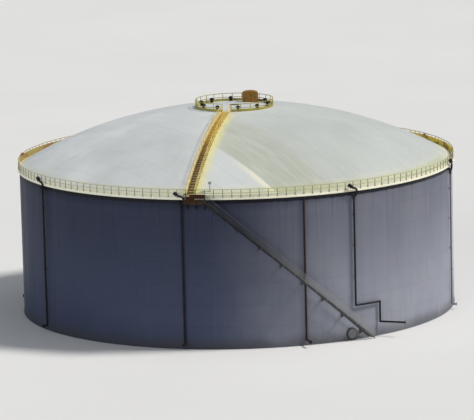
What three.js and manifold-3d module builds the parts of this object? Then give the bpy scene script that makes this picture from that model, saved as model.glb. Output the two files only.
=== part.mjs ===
// A dome-roof liquid storage tank, as a 1:2 scale model: welded shell, spherical cap roof,
// rim handrail, stair round the shell, stepped walkway over the roof, and foam lines.
// Millimetres of the full-size tank, +Z up, origin at the centre of the underside.
// A bearing is an angle in degrees seen from above: 0 is the front (-Y), 90 is +X.

import * as THREE from "three";
import { mergeVertices } from "three/addons/utils/BufferGeometryUtils.js";
import Module from "manifold-3d";

const wasm = await Module();
wasm.setup();

const MODEL_SCALE = 0.5;

// Driving dimensions of the tank body
const SHELL_RADIUS = 26000;
const SHELL_THICKNESS = 30;
const COURSE_COUNT = 7;
const COURSE_HEIGHT = 2500;
const BOTTOM_THICKNESS = 20;
const BOTTOM_LIP = 80;
const ROOF_RISE = 6750;
const ROOF_THICKNESS = 24;
const CROWN_RADIUS = 5200;
const CURB_OVERHANG = 220;
const CURB_HEIGHT = 250;
const SEGMENT_COUNT = 8;
const CURB_SECTIONS = 4;
const FACET_DEGREES = 5;
const SEAT_GAP = 0.8;

const RIM_HEIGHT = BOTTOM_THICKNESS + COURSE_COUNT * COURSE_HEIGHT;
const ROOF_RADIUS = (SHELL_RADIUS ** 2 + ROOF_RISE ** 2) / (2 * ROOF_RISE);
const RING_STEPS = 360 / FACET_DEGREES;

// Handrails
const RAIL_HEIGHT = 950;
const RAIL_BAR = 50;
const POST_BAR = 50;
const RIM_RAIL_INSET = 90;
const RIM_RAIL_BAYS = [40, 40, 40, 38];

// The stair round the shell, its top landing and the roof walkway
const STAIR_GAP = 260;
const STAIR_WIDTH = 762;
const STRINGER_THICKNESS = 12;
const STRINGER_DEPTH = 260;
const FLIGHT_COUNT = 4;
const FLIGHT_RUN = 4840;
const FLIGHT_RISERS = 21;
const LANDING_DROP = 420;
const LANDING_LEVEL = RIM_HEIGHT - LANDING_DROP;
const LANDING_BEARINGS = [-12.75, -7.7];
const WALKWAY_BEARING = -11.6;
const WALKWAY_GATE = [-12.6, -10.336];
const WALKWAY_WIDTH = 900;
const WALKWAY_STEP = 460;

// Foam lines: a riser pipe with a foam chamber above the rim
const FOAM_BEARINGS = [30.5, 75, 119, 166, 211, 260.5, 300.6, 346.1];
const FOAM_PIPE_RADIUS = 110;
const FOAM_STANDOFF = 130;
const CHAMBER_RADIUS = 200;
const LOOP_RADIUS = 115;
const OUTLET_RADIUS = 150;

const paint = (color, roughness, metalness = 0) =>
  new THREE.MeshStandardMaterial({ color, roughness, metalness });
const SHELL_PAINT = paint(0xa9abb2, 0.55);
const ROOF_PAINT = paint(0xcfd2cc, 0.6);
const CURB_PAINT = paint(0xe2dcb8, 0.6);
const YELLOW_PAINT = paint(0xc9a632, 0.5);
const RUSTED_YELLOW = paint(0x8a5a22, 0.8);
const FOAM_PAINT = paint(0x2a2628, 0.6);
const RISER_PAINT = paint(0x4a2f2c, 0.65);
const FLANGE_STEEL = paint(0x8c8f94, 0.5, 0.3);

const radians = THREE.MathUtils.degToRad;
const arcAt = (bearing) => SHELL_RADIUS * radians(bearing);

const tank = new THREE.Group();
tank.name = "dome_roof_tank";
tank.scale.setScalar(MODEL_SCALE);

// Solids

function solidOf(geometry) {
  const bare = geometry.index ? geometry.toNonIndexed() : geometry.clone();
  bare.deleteAttribute("normal");
  bare.deleteAttribute("uv");
  const merged = mergeVertices(bare, 1e-2);
  return new wasm.Manifold(
    new wasm.Mesh({
      numProp: 3,
      vertProperties: merged.attributes.position.array,
      triVerts: new Uint32Array(merged.index.array),
    }),
  );
}

function joined(geometries) {
  return wasm.Manifold.union(geometries.map(solidOf));
}

function addPiece(name, solid, material) {
  const { vertProperties, triVerts } = solid.getMesh();
  const geometry = new THREE.BufferGeometry()
    .setAttribute("position", new THREE.BufferAttribute(vertProperties, 3))
    .setIndex(new THREE.BufferAttribute(triVerts, 1));
  const mesh = new THREE.Mesh(geometry, material);
  mesh.name = name;
  tank.add(mesh);
}

// A closed profile of [radius, height] points turned about the tank's axis between two bearings.
function turned(profile, from = 0, to = 360, steps = (to - from) / FACET_DEGREES) {
  const outline = profile.map(([radius, height]) => new THREE.Vector2(radius, height));
  if (THREE.ShapeUtils.isClockWise(outline)) outline.reverse();
  const points = [...outline, outline[0]];
  const lathe = new THREE.LatheGeometry(points, steps, radians(from), radians(to - from));
  const index = [...lathe.index.array];
  if (to - from < 360) {
    const end = steps * points.length;
    for (const face of THREE.ShapeUtils.triangulateShape(outline, [])) {
      const corners = face.map((i) => outline[i]);
      const [a, b, c] = THREE.ShapeUtils.isClockWise(corners) ? [...face].reverse() : face;
      index.push(a, b, c, end + c, end + b, end + a);
    }
  }
  lathe.setIndex(index);
  return lathe.rotateX(Math.PI / 2);
}

// A box between two corners, cut across its length so that it can bend.
function block([x0, y0, z0], [x1, y1, z1], steps = 1) {
  const box = new THREE.BoxGeometry(x1 - x0, y1 - y0, z1 - z0, steps, 1, 1);
  return box.translate((x0 + x1) / 2, (y0 + y1) / 2, (z0 + z1) / 2);
}

// Tilts a level piece drawn from x = start, so that it falls by slope for each unit of x.
function sloped(geometry, start, slope) {
  const place = geometry.attributes.position;
  for (let i = 0; i < place.count; i += 1)
    place.setZ(i, place.getZ(i) - slope * (place.getX(i) - start));
  return geometry;
}

// Bends a piece drawn flat, with x along the wall and -y outwards from it, round a cylinder.
function bent(geometry, radius = SHELL_RADIUS) {
  const place = geometry.attributes.position;
  for (let i = 0; i < place.count; i += 1) {
    const angle = place.getX(i) / radius;
    const reach = radius - place.getY(i);
    place.setXY(i, reach * Math.sin(angle), -reach * Math.cos(angle));
  }
  return geometry;
}

// A round bar between two points.
function pipe(from, to, radius, sides = 8) {
  const [start, end] = [new THREE.Vector3(...from), new THREE.Vector3(...to)];
  const along = end.clone().sub(start);
  const turn = new THREE.Quaternion().setFromUnitVectors(
    new THREE.Vector3(0, 1, 0),
    along.clone().normalize(),
  );
  const middle = start.clone().add(end).multiplyScalar(0.5);
  return new THREE.CylinderGeometry(radius, radius, along.length(), sides)
    .rotateY(Math.PI / sides)
    .applyQuaternion(turn)
    .translate(...middle);
}

// A round bar along a line of points, mitred at its corners.
function bentPipe(points, radius, sides = 8) {
  const path = points.map((point) => new THREE.Vector3(...point));
  const headings = path.slice(1).map((point, i) => point.clone().sub(path[i]).normalize());
  const across = new THREE.Vector3(0.1, 1, 0.2).cross(headings[0]).normalize();
  const beside = headings[0].clone().cross(across);
  let ring = Array.from({ length: sides }, (_, i) => {
    const turn = (2 * Math.PI * (i + 0.5)) / sides;
    const point = path[0].clone().addScaledVector(across, radius * Math.cos(turn));
    return point.addScaledVector(beside, radius * Math.sin(turn));
  });
  const corners = [...ring];
  const index = [];
  headings.forEach((heading, i) => {
    const mitre = heading.clone().add(headings[i + 1] ?? heading).normalize();
    const start = corners.length - sides;
    ring = ring.map((point) => {
      const reach = path[i + 1].clone().sub(point).dot(mitre) / heading.dot(mitre);
      return point.clone().addScaledVector(heading, reach);
    });
    corners.push(...ring);
    for (let a = 0; a < sides; a += 1) {
      const b = (a + 1) % sides;
      index.push(start + a, start + b, start + sides + b);
      index.push(start + a, start + sides + b, start + sides + a);
    }
  });
  const last = corners.length - sides;
  for (let a = 1; a < sides - 1; a += 1)
    index.push(0, a + 1, a, last, last + a, last + a + 1);
  return new THREE.BufferGeometry().setFromPoints(corners).setIndex(index);
}

// Height of the roof's outer surface over the ground.
const roofHeight = (radius) =>
  RIM_HEIGHT + ROOF_RISE - ROOF_RADIUS + Math.sqrt(ROOF_RADIUS ** 2 - radius ** 2);

function roofArc(inner, outer, steps, sink = 0) {
  return Array.from({ length: steps + 1 }, (_, i) => {
    const radius = inner + ((outer - inner) * i) / steps;
    return [radius, roofHeight(radius) - sink];
  });
}

// The roof plates' inside is cut level at the eave, where they stand on the shell.
const EAVE_INSIDE = SHELL_RADIUS - SHELL_THICKNESS - 12;
const ROOF_STEPS = 5;
const CROWN_STEPS = 2;
const petalTop = roofArc(CROWN_RADIUS, SHELL_RADIUS, ROOF_STEPS);
const crownTop = roofArc(0, CROWN_RADIUS, CROWN_STEPS);

const shellRoom = solidOf(
  turned([
    [0, -10],
    [SHELL_RADIUS + SEAT_GAP, -10],
    [SHELL_RADIUS + SEAT_GAP, RIM_HEIGHT + 1],
    [0, RIM_HEIGHT + 1],
  ]),
);
const roofRoom = solidOf(
  turned([
    [0, 0],
    [SHELL_RADIUS, 0],
    ...[...petalTop].reverse().map(([radius, height]) => [radius, height + SEAT_GAP]),
    ...[...crownTop].reverse().slice(1).map(([radius, height]) => [radius, height + SEAT_GAP]),
  ]),
);
const curbRoom = solidOf(
  turned([
    [SHELL_RADIUS - 500, RIM_HEIGHT - CURB_HEIGHT - SEAT_GAP],
    [SHELL_RADIUS + CURB_OVERHANG + SEAT_GAP, RIM_HEIGHT - CURB_HEIGHT - SEAT_GAP],
    [SHELL_RADIUS + CURB_OVERHANG + SEAT_GAP, RIM_HEIGHT],
    [SHELL_RADIUS - 500, RIM_HEIGHT],
  ]),
);

// Cuts what is fixed to the shell or stands on the roof to the plates' own facets.
const seatedOnShell = (solid) => solid.subtract(shellRoom);
const seatedOnRoof = (solid) => solid.subtract(roofRoom);

// Tank body

function addBottom() {
  const edge = SHELL_RADIUS + BOTTOM_LIP;
  const profile = [
    [0, 0],
    [edge, 0],
    [edge, BOTTOM_THICKNESS],
    [0, BOTTOM_THICKNESS],
  ];
  addPiece("bottom_plate", solidOf(turned(profile)), FLANGE_STEEL);
}

function addShell() {
  const span = 360 / SEGMENT_COUNT;
  const profile = [
    [SHELL_RADIUS - SHELL_THICKNESS, BOTTOM_THICKNESS],
    [SHELL_RADIUS, BOTTOM_THICKNESS],
    [SHELL_RADIUS, RIM_HEIGHT],
    [SHELL_RADIUS - SHELL_THICKNESS, RIM_HEIGHT],
  ];
  for (let i = 0; i < SEGMENT_COUNT; i += 1) {
    const segment = turned(profile, i * span, (i + 1) * span);
    addPiece(`shell_segment_${i + 1}`, solidOf(segment), SHELL_PAINT);
  }
}

function addRoof() {
  const span = 360 / SEGMENT_COUNT;
  const under = roofArc(CROWN_RADIUS, EAVE_INSIDE, ROOF_STEPS, ROOF_THICKNESS).reverse();
  under[0] = [EAVE_INSIDE, RIM_HEIGHT];
  for (let i = 0; i < SEGMENT_COUNT; i += 1) {
    const petal = turned([...petalTop, ...under], i * span, (i + 1) * span);
    addPiece(`roof_petal_${i + 1}`, solidOf(petal), ROOF_PAINT);
  }
}

const VENT_COUNT = 10;
const VENT_RING = 4050;
const VENT_FIRST_BEARING = 6;
const VENT_RADIUS = 200;
const VENT_HEIGHT = 640;

function addCrown() {
  const under = crownTop.map(([radius, height]) => [radius, height - ROOF_THICKNESS]).reverse();
  const pieces = [turned([...crownTop, ...under])];
  const foot = roofHeight(VENT_RING) - ROOF_THICKNESS / 2;
  for (let i = 0; i < VENT_COUNT; i += 1) {
    const vent = pipe([0, -VENT_RING, foot], [0, -VENT_RING, foot + VENT_HEIGHT], VENT_RADIUS, 6);
    pieces.push(vent.rotateZ(radians(VENT_FIRST_BEARING + (i * 360) / VENT_COUNT)));
  }
  addPiece("crown_plate", joined(pieces), ROOF_PAINT);
}

function addCurb() {
  const inside = SHELL_RADIUS + SEAT_GAP;
  const outside = SHELL_RADIUS + CURB_OVERHANG;
  const profile = [
    [inside, RIM_HEIGHT - CURB_HEIGHT],
    [outside, RIM_HEIGHT - CURB_HEIGHT],
    [outside, RIM_HEIGHT],
    [inside, RIM_HEIGHT],
  ];
  const span = 360 / CURB_SECTIONS;
  for (let i = 0; i < CURB_SECTIONS; i += 1) {
    const section = turned(profile, i * span, (i + 1) * span);
    addPiece(`curb_section_${i + 1}`, solidOf(section), CURB_PAINT);
  }
}

// Handrails

// Posts, a top rail and a knee rail round part of a circle, standing on a level floor. The rails
// are straight from step to step, with a post at each corner, and halfway where postsPerStep is 2.
function roundRail({ radius, from, to, steps, floor, sink = 0, lastPost = true, postsPerStep = 1 }) {
  const reach = (bearing) => radius * radians(bearing);
  const chordInset = radius * (1 - Math.cos(radians(to - from) / steps / 2));
  const postCount = steps * postsPerStep;
  const [start, end] = [reach(from), reach(to)];
  const half = POST_BAR / 2;
  const pieces = [RAIL_HEIGHT / 2, RAIL_HEIGHT].map((height) => {
    const foot = [start, -half, floor + height - RAIL_BAR];
    return bent(block(foot, [end, half, floor + height], steps), radius);
  });
  for (let i = 0; i <= postCount; i += 1) {
    if (i === postCount && !lastPost) break;
    const place = start + ((end - start) * i) / postCount;
    const x = Math.min(Math.max(place, start + half), end - half);
    const inset = i % postsPerStep ? chordInset : 0;
    const foot = [x - half, inset - half + 4, floor - sink];
    const head = [x + half, inset + half - 4, floor + RAIL_HEIGHT - RAIL_BAR / 2];
    pieces.push(bent(block(foot, head), radius));
  }
  return joined(pieces);
}

function addRimRail() {
  const bays = RIM_RAIL_BAYS.reduce((sum, count) => sum + count);
  const bay = (360 + WALKWAY_GATE[0] - WALKWAY_GATE[1]) / bays;
  let from = WALKWAY_GATE[1];
  RIM_RAIL_BAYS.forEach((count, i) => {
    const rail = roundRail({
      radius: SHELL_RADIUS + CURB_OVERHANG - RIM_RAIL_INSET,
      from,
      to: from + count * bay - 0.002,
      steps: count / 2,
      postsPerStep: 2,
      floor: RIM_HEIGHT,
      lastPost: i === RIM_RAIL_BAYS.length - 1,
    });
    addPiece(`rim_rail_${i + 1}`, rail, YELLOW_PAINT);
    from += count * bay;
  });
}

const CROWN_RAIL_RADIUS = 4650;
const CROWN_GATE = 6.5;

function addCrownRail() {
  const floor = roofHeight(CROWN_RAIL_RADIUS);
  const middle = WALKWAY_BEARING + 180;
  const halves = {
    crown_rail_right: [WALKWAY_BEARING + CROWN_GATE, middle - 0.01],
    crown_rail_left: [middle + 0.01, WALKWAY_BEARING + 360 - CROWN_GATE],
  };
  for (const [name, [from, to]] of Object.entries(halves)) {
    const rail = roundRail({ radius: CROWN_RAIL_RADIUS, from, to, steps: 12, floor, sink: 60 });
    addPiece(name, seatedOnRoof(rail), YELLOW_PAINT);
  }
}

// The stair round the shell

const RISER_HEIGHT = LANDING_LEVEL / (FLIGHT_COUNT * FLIGHT_RISERS);
const FLIGHT_RISE = RISER_HEIGHT * FLIGHT_RISERS;
const FLIGHT_SLOPE = FLIGHT_RISE / FLIGHT_RUN;
const TREAD_GOING = FLIGHT_RUN / FLIGHT_RISERS;
const STAIR_INSIDE = -STAIR_GAP;
const STAIR_OUTSIDE = -(STAIR_GAP + STAIR_WIDTH);
const STRINGER_RISE = 40;
const BRACKET_THICKNESS = 16;
const BRACKET_SHARES = [0.2, 0.7];
const flightStart = (flight) => arcAt(LANDING_BEARINGS[1]) + flight * FLIGHT_RUN;
const flightTop = (flight) => LANDING_LEVEL - flight * FLIGHT_RISE;

function stringer(flight, side) {
  const start = flightStart(flight) + 1;
  const end = flightStart(flight) + FLIGHT_RUN;
  const near = side === STAIR_OUTSIDE ? side : side - STRINGER_THICKNESS;
  const far = near + STRINGER_THICKNESS;
  const high = flightTop(flight) + STRINGER_RISE;
  const flat = block([start, near, high - STRINGER_DEPTH], [end, far, high], 4);
  return bent(sloped(flat, start, FLIGHT_RISE / (end - start)));
}

function tread(nose, height) {
  const inner = STAIR_INSIDE - STRINGER_THICKNESS / 2;
  const outer = STAIR_OUTSIDE + STRINGER_THICKNESS / 2;
  return bent(block([nose, outer, height - 34], [nose + TREAD_GOING - 4, inner, height]));
}

// The treads of one flight. The lower flights begin with a tread of their own at the joint.
function treads(flight) {
  const [start, top] = [flightStart(flight), flightTop(flight)];
  const steps = Array.from({ length: FLIGHT_RISERS - 1 }, (_, i) =>
    tread(start + (i + 1) * TREAD_GOING - 20, top - (i + 1) * RISER_HEIGHT),
  );
  return flight > 0 ? [tread(start + 2, top), ...steps] : steps;
}

// A wall bracket under both stringers, at a share of the flight's run.
function bracket(flight, share) {
  const half = BRACKET_THICKNESS / 2;
  const x = flightStart(flight) + share * FLIGHT_RUN;
  const high = flightTop(flight) - share * FLIGHT_RISE - 60;
  return bent(block([x - half, STAIR_OUTSIDE + 6, high - 140], [x + half, 60, high]));
}

function addStair() {
  for (let flight = 0; flight < FLIGHT_COUNT; flight += 1) {
    const pieces = [
      stringer(flight, STAIR_INSIDE),
      stringer(flight, STAIR_OUTSIDE),
      ...treads(flight),
      ...BRACKET_SHARES.map((share) => bracket(flight, share)),
    ];
    const ground = block([-30000, -3000, -400], [30000, 400, 0], 60);
    const solid = seatedOnShell(joined(pieces)).subtract(solidOf(bent(ground)));
    addPiece(`stair_flight_${flight + 1}`, solid, SHELL_PAINT);
  }
}

function addStairRails() {
  const near = STAIR_OUTSIDE - SEAT_GAP;
  const far = near - POST_BAR;
  for (let flight = 0; flight < FLIGHT_COUNT; flight += 1) {
    const top = flightTop(flight);
    const start = flightStart(flight) + 4;
    const end = flightStart(flight) + FLIGHT_RUN;
    const pieces = [RAIL_HEIGHT / 2, RAIL_HEIGHT].map((height) => {
      const foot = [start, far + 5, top + height - RAIL_BAR];
      const bar = block(foot, [end, near - 5, top + height], 4);
      return bent(sloped(bar, start, FLIGHT_SLOPE));
    });
    for (let post = 0; post <= 4; post += 1) {
      const corner = start + (post / 4) * (end - start);
      const x = Math.min(Math.max(corner, start + 22), end - 22);
      const floor = top - (x - start) * FLIGHT_SLOPE;
      const foot = [x - 22, far, Math.max(0, floor - 190)];
      pieces.push(bent(block(foot, [x + 22, near, floor + RAIL_HEIGHT - 30])));
    }
    addPiece(`stair_rail_${flight + 1}`, joined(pieces), YELLOW_PAINT);
  }
}

// The landing lies below the rim. A box step leads from its deck up to the walkway.

const LANDING_OUTSIDE = STAIR_OUTSIDE - 70;
const STEP_DEPTH = 300;
const BOARD_START = 0.28;

function addRimLanding() {
  const [from, to] = LANDING_BEARINGS.map(arcAt);
  const high = LANDING_LEVEL;
  const pieces = [bent(block([from, LANDING_OUTSIDE, high - 60], [to - 1, 60, high], 2))];
  for (const share of [0.08, 0.5, 0.92]) {
    const x = from + share * (to - from);
    const gusset = new THREE.Shape([
      new THREE.Vector2(60, high - 50),
      new THREE.Vector2(LANDING_OUTSIDE + 40, high - 50),
      new THREE.Vector2(LANDING_OUTSIDE + 40, high - 190),
      new THREE.Vector2(60, high - 1100),
    ]);
    const plate = new THREE.ExtrudeGeometry(gusset, { depth: 20, bevelEnabled: false });
    plate.rotateX(Math.PI / 2).rotateZ(Math.PI / 2).translate(x, 0, 0);
    pieces.push(bent(plate));
  }
  const middle = arcAt(WALKWAY_BEARING);
  const reach = CURB_OVERHANG + SEAT_GAP;
  const stepFoot = [middle - WALKWAY_WIDTH / 2, -reach - STEP_DEPTH, high - 20];
  const stepHead = [middle + WALKWAY_WIDTH / 2, -reach, high + LANDING_DROP / 2];
  pieces.push(bent(block(stepFoot, stepHead)));
  addPiece("rim_landing", seatedOnShell(joined(pieces)), RUSTED_YELLOW);
}

// The landing's outer rail carries a plain board under its top bar, beside the walkway's foot.
function addLandingRail() {
  const [from, to] = LANDING_BEARINGS.map(arcAt);
  const out = LANDING_OUTSIDE;
  const base = LANDING_LEVEL;
  const head = base + RAIL_HEIGHT;
  const inner = -(CURB_OVERHANG + POST_BAR + 10);
  const last = to - 2 - POST_BAR;
  const toeBoard = block([from + 10, out + 12, base], [to - 10, out + 24, base + 150], 2);
  const boardStart = from + BOARD_START * (to - from);
  const board = block([boardStart, out + 6, head - 426], [to - 11, out + 18, head - 9], 2);
  const pieces = [toeBoard, board];
  for (const height of [RAIL_HEIGHT / 2, RAIL_HEIGHT - 6]) {
    const low = base + height - RAIL_BAR;
    const long = block([from + 8, out + 5, low], [to - 12, out + POST_BAR - 5, base + height], 2);
    const side = [from + POST_BAR - 6, inner + POST_BAR - 8, base + height - 3];
    pieces.push(long, block([from + 6, out + 20, low + 3], side));
  }
  for (const x of [from, (from + last) / 2, last]) {
    pieces.push(block([x, out, base], [x + POST_BAR, out + POST_BAR, head]));
  }
  pieces.push(block([from, inner, base], [from + POST_BAR, inner + POST_BAR, head]));
  addPiece("landing_rail", joined(pieces.map((piece) => bent(piece))), RUSTED_YELLOW);
}

// The stepped walkway over the roof. It is drawn at bearing 0 and turned to its place.

const WALKWAY_INNER = CROWN_RAIL_RADIUS + 120;
const WALKWAY_OUTER = SHELL_RADIUS - 60;
const WALKWAY_CURB = 120;

// A strip that follows the roof between two radii, low and high over its surface.
function roofStrip(inner, outer, low, high, x0, x1, steps = 6) {
  const top = roofArc(inner, outer, steps, -high);
  const under = roofArc(inner, outer, steps, -low).reverse();
  const outline = [...top, ...under].map(([radius, height]) => new THREE.Vector2(radius, height));
  const strip = new THREE.ExtrudeGeometry(new THREE.Shape(outline), {
    depth: x1 - x0,
    bevelEnabled: false,
  });
  return strip.rotateX(Math.PI / 2).rotateZ(-Math.PI / 2).translate(x1, 0, 0);
}

const placedOnRoof = (solid) => seatedOnRoof(solid.rotate([0, 0, WALKWAY_BEARING]));

function addWalkway() {
  const half = WALKWAY_WIDTH / 2;
  const length = WALKWAY_OUTER - WALKWAY_INNER;
  const pieces = [-half, half - STRINGER_THICKNESS].map((x) => {
    const end = x + STRINGER_THICKNESS;
    return roofStrip(WALKWAY_INNER, WALKWAY_OUTER, -40, WALKWAY_CURB, x, end, 14);
  });
  const count = Math.round(length / WALKWAY_STEP);
  for (let i = 0; i < count; i += 1) {
    const radius = WALKWAY_INNER + ((i + 0.5) * length) / count;
    const top = roofHeight(radius) + WALKWAY_CURB - 20;
    const foot = [-half + 6, -radius - 130, top - 40];
    pieces.push(block(foot, [half - 6, -radius + 130, top]));
  }
  addPiece("roof_walkway", placedOnRoof(joined(pieces)), RUSTED_YELLOW);
}

function addWalkwayRails() {
  const edge = WALKWAY_WIDTH / 2 + SEAT_GAP;
  const count = 14;
  for (const [name, side] of [["walkway_rail_left", -1], ["walkway_rail_right", 1]]) {
    const [x0, x1] = side < 0 ? [-edge - POST_BAR, -edge] : [edge, edge + POST_BAR];
    const pieces = [RAIL_HEIGHT / 2, RAIL_HEIGHT].map((height) =>
      roofStrip(WALKWAY_INNER, WALKWAY_OUTER, height - RAIL_BAR, height, x0 + 4, x1 - 4, 14),
    );
    for (let i = 0; i < count; i += 1) {
      const share = (i + 0.2) / (count - 0.6);
      const radius = WALKWAY_INNER + share * (WALKWAY_OUTER - WALKWAY_INNER);
      const height = roofHeight(radius);
      const foot = [x0, -radius - 25, height - 60];
      pieces.push(block(foot, [x1, -radius + 25, height + RAIL_HEIGHT - 20]));
    }
    addPiece(name, placedOnRoof(joined(pieces)), YELLOW_PAINT);
  }
}

// Roof fittings

function addVentHood() {
  const width = 1900;
  const depth = 1200;
  const side = 1000;
  const arch = new THREE.Shape();
  arch.moveTo(-width / 2, -400);
  arch.lineTo(width / 2, -400);
  arch.lineTo(width / 2, side);
  arch.quadraticCurveTo(0, side + 700, -width / 2, side);
  const hood = new THREE.ExtrudeGeometry(arch, { depth, bevelEnabled: false, curveSegments: 8 });
  hood.rotateX(Math.PI / 2).translate(1930, 2600 + depth / 2, roofHeight(2900));
  addPiece("vent_hood", seatedOnRoof(solidOf(hood)), RUSTED_YELLOW);
}

const GAUGE_BEARING = -6.9;
const GAUGE_RADIUS = 25000;

function addGaugePost() {
  const foot = roofHeight(GAUGE_RADIUS) - 80;
  const top = foot + 920;
  const post = pipe([0, -GAUGE_RADIUS, foot], [0, -GAUGE_RADIUS, top], 60);
  const head = block(
    [-190, -GAUGE_RADIUS - 130, top - 20],
    [190, -GAUGE_RADIUS + 130, top + 260],
  );
  const solid = joined([post, head]).rotate([0, 0, GAUGE_BEARING]);
  addPiece("gauge_post", seatedOnRoof(solid), FLANGE_STEEL);
}

// Pipework on the shell. Pieces are drawn flat at x = 0, with -y outwards.

const turnedTo = (solid, bearing) => solid.rotate([0, 0, bearing]);
const FLANGE_THICKNESS = 40;

// The flange at the end of a bar that runs from one point to another.
function endFlange(from, to, radius) {
  const direction = new THREE.Vector3(...to).sub(new THREE.Vector3(...from)).normalize();
  const back = new THREE.Vector3(...to).addScaledVector(direction, -FLANGE_THICKNESS);
  const face = new THREE.Vector3(...to).addScaledVector(direction, 1);
  return pipe(back.toArray(), face.toArray(), radius * 1.7, 12);
}

const flangedEnd = (from, to, radius) => [pipe(from, to, radius), endFlange(from, to, radius)];

function clamp(x, y, height) {
  const half = 30;
  return block([x - half, y, height - half], [x + half, 60 - SHELL_RADIUS, height + half]);
}

const FOAM_TOP = RIM_HEIGHT - 840;

// The line ends under the curb in an outlet through the shell. From there a pipe loops out
// round the curb to the chamber, a thick drum that leans over the rim.
function foamChamber(pipeY) {
  const at = (x, out, height) => [x, pipeY - out, RIM_HEIGHT + height];
  const loop = [at(0, 0, -880), at(290, 110, -580), at(330, 130, -200), at(60, 140, 110)];
  const outlet = [at(0, 0, -900), at(-400, -30, -510)];
  return [
    bentPipe([...loop, at(-240, 155, 205)], LOOP_RADIUS, 6),
    pipe(at(-190, 165, 185), at(-800, 165, 575), CHAMBER_RADIUS),
    bentPipe([...outlet, [-400, 60 - SHELL_RADIUS, RIM_HEIGHT - 510]], OUTLET_RADIUS, 6),
  ];
}

const FOAM_JOG_HEIGHT = 4040;
const FOAM_JOG_BEARING = 38;
const FOAM_STUB_HEIGHT = 1680;
const FOAM_STUB_LENGTH = 3000;
const FOAM_STUB_HEADING = -18;
const CLAMP_HEIGHTS = [14600, 11000, 7400];

// The line over the stair's foot steps aside past it, and its stub runs on to the right.
function steppedRoute(bearing, pipeY) {
  const shift = radians(FOAM_JOG_BEARING - bearing);
  const at = (turn) => [-pipeY * Math.sin(turn), pipeY * Math.cos(turn)];
  const heading = radians(FOAM_STUB_HEADING - bearing);
  const [x, y] = at(shift);
  return [
    [0, pipeY, FOAM_TOP],
    [0, pipeY, FOAM_JOG_HEIGHT],
    [...at(shift / 2), FOAM_JOG_HEIGHT],
    [x, y, FOAM_JOG_HEIGHT],
    [x, y, FOAM_STUB_HEIGHT],
    [
      x + FOAM_STUB_LENGTH * Math.cos(heading),
      y + FOAM_STUB_LENGTH * Math.sin(heading),
      FOAM_STUB_HEIGHT,
    ],
  ];
}

const straightRoute = (pipeY) => [
  [0, pipeY, FOAM_TOP],
  [0, pipeY, 600],
  [0, pipeY - 620, 600],
];

function addFoamLines() {
  const pipeY = -(SHELL_RADIUS + FOAM_STANDOFF + FOAM_PIPE_RADIUS);
  FOAM_BEARINGS.forEach((bearing, i) => {
    const route = i === 0 ? steppedRoute(bearing, pipeY) : straightRoute(pipeY);
    const pieces = [
      bentPipe(route, FOAM_PIPE_RADIUS),
      endFlange(...route.slice(-2), FOAM_PIPE_RADIUS),
      ...CLAMP_HEIGHTS.map((height) => clamp(0, pipeY, height)),
      ...foamChamber(pipeY),
    ];
    const line = turnedTo(joined(pieces), bearing);
    addPiece(`foam_line_${i + 1}`, seatedOnShell(line).subtract(curbRoom), FOAM_PAINT);
  });
}

const RISER_BEARING = 16.8;
const RISER_RADIUS = 110;

function addRiser() {
  const y = -(SHELL_RADIUS + 30 + RISER_RADIUS);
  const route = [[0, y, RIM_HEIGHT - CURB_HEIGHT - 2], [0, y, 700], [0, y - 1500, 700]];
  const pieces = [
    bentPipe(route, RISER_RADIUS),
    endFlange(...route.slice(-2), RISER_RADIUS),
    ...CLAMP_HEIGHTS.map((height) => clamp(0, y, height + 700)),
  ];
  const solid = turnedTo(joined(pieces), RISER_BEARING);
  addPiece("water_riser", seatedOnShell(solid), RISER_PAINT);
}

// A short neck through the shell with a flange, and a cover on the manholes.
function neck(name, bearing, height, radius, reach, material, covered) {
  const face = -(SHELL_RADIUS + reach);
  const pieces = flangedEnd([0, -(SHELL_RADIUS - 200), height], [0, face, height], radius);
  if (covered) {
    pieces.push(pipe([0, face + 5, height], [0, face - 30, height], radius * 1.6, 12));
  }
  addPiece(name, seatedOnShell(turnedTo(joined(pieces), bearing)), material);
}

function addShellFittings() {
  neck("shell_manhole_front", 29.4, 780, 400, 230, SHELL_PAINT, true);
  neck("shell_manhole_back", 190, 780, 310, 230, SHELL_PAINT, true);
  neck("product_nozzle_1", 100, 900, 300, 420, FLANGE_STEEL, false);
  neck("product_nozzle_2", 106, 900, 200, 420, FLANGE_STEEL, false);
}

addBottom();
addShell();
addRoof();
addCrown();
addCurb();
addRimRail();
addCrownRail();
addStair();
addStairRails();
addRimLanding();
addLandingRail();
addWalkway();
addWalkwayRails();
addVentHood();
addGaugePost();
addFoamLines();
addRiser();
addShellFittings();

export default tank;
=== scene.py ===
"""Dome-roof storage tank: welded shell and roof plates, handrails, stair, walkway and pipework.

Sizes are metres of the 1:2 model. A bearing is an angle seen from above: 0 is the front (-Y)
and 90 degrees is +X.
"""

from functools import cached_property
from math import cos, hypot, pi, radians, sin, sqrt

import bmesh
import bpy
from mathutils import Matrix, Vector


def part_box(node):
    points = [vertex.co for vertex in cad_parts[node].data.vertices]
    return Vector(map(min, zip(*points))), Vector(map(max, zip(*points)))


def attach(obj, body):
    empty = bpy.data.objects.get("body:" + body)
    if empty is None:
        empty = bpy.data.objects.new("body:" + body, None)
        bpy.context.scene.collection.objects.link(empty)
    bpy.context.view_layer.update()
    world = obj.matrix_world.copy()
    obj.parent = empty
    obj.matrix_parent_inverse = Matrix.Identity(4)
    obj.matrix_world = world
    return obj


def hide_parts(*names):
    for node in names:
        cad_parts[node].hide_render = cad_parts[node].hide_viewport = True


bl_info = {
    "name": "Dome-Roof Storage Tank",
    "version": (1, 0, 0),
    "blender": (4, 5, 0),
    "location": "View3D > Sidebar > Tank",
    "description": "Builds the shell, roof, handrails, stair and pipework of a storage tank",
    "category": "Add Mesh",
}

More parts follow.
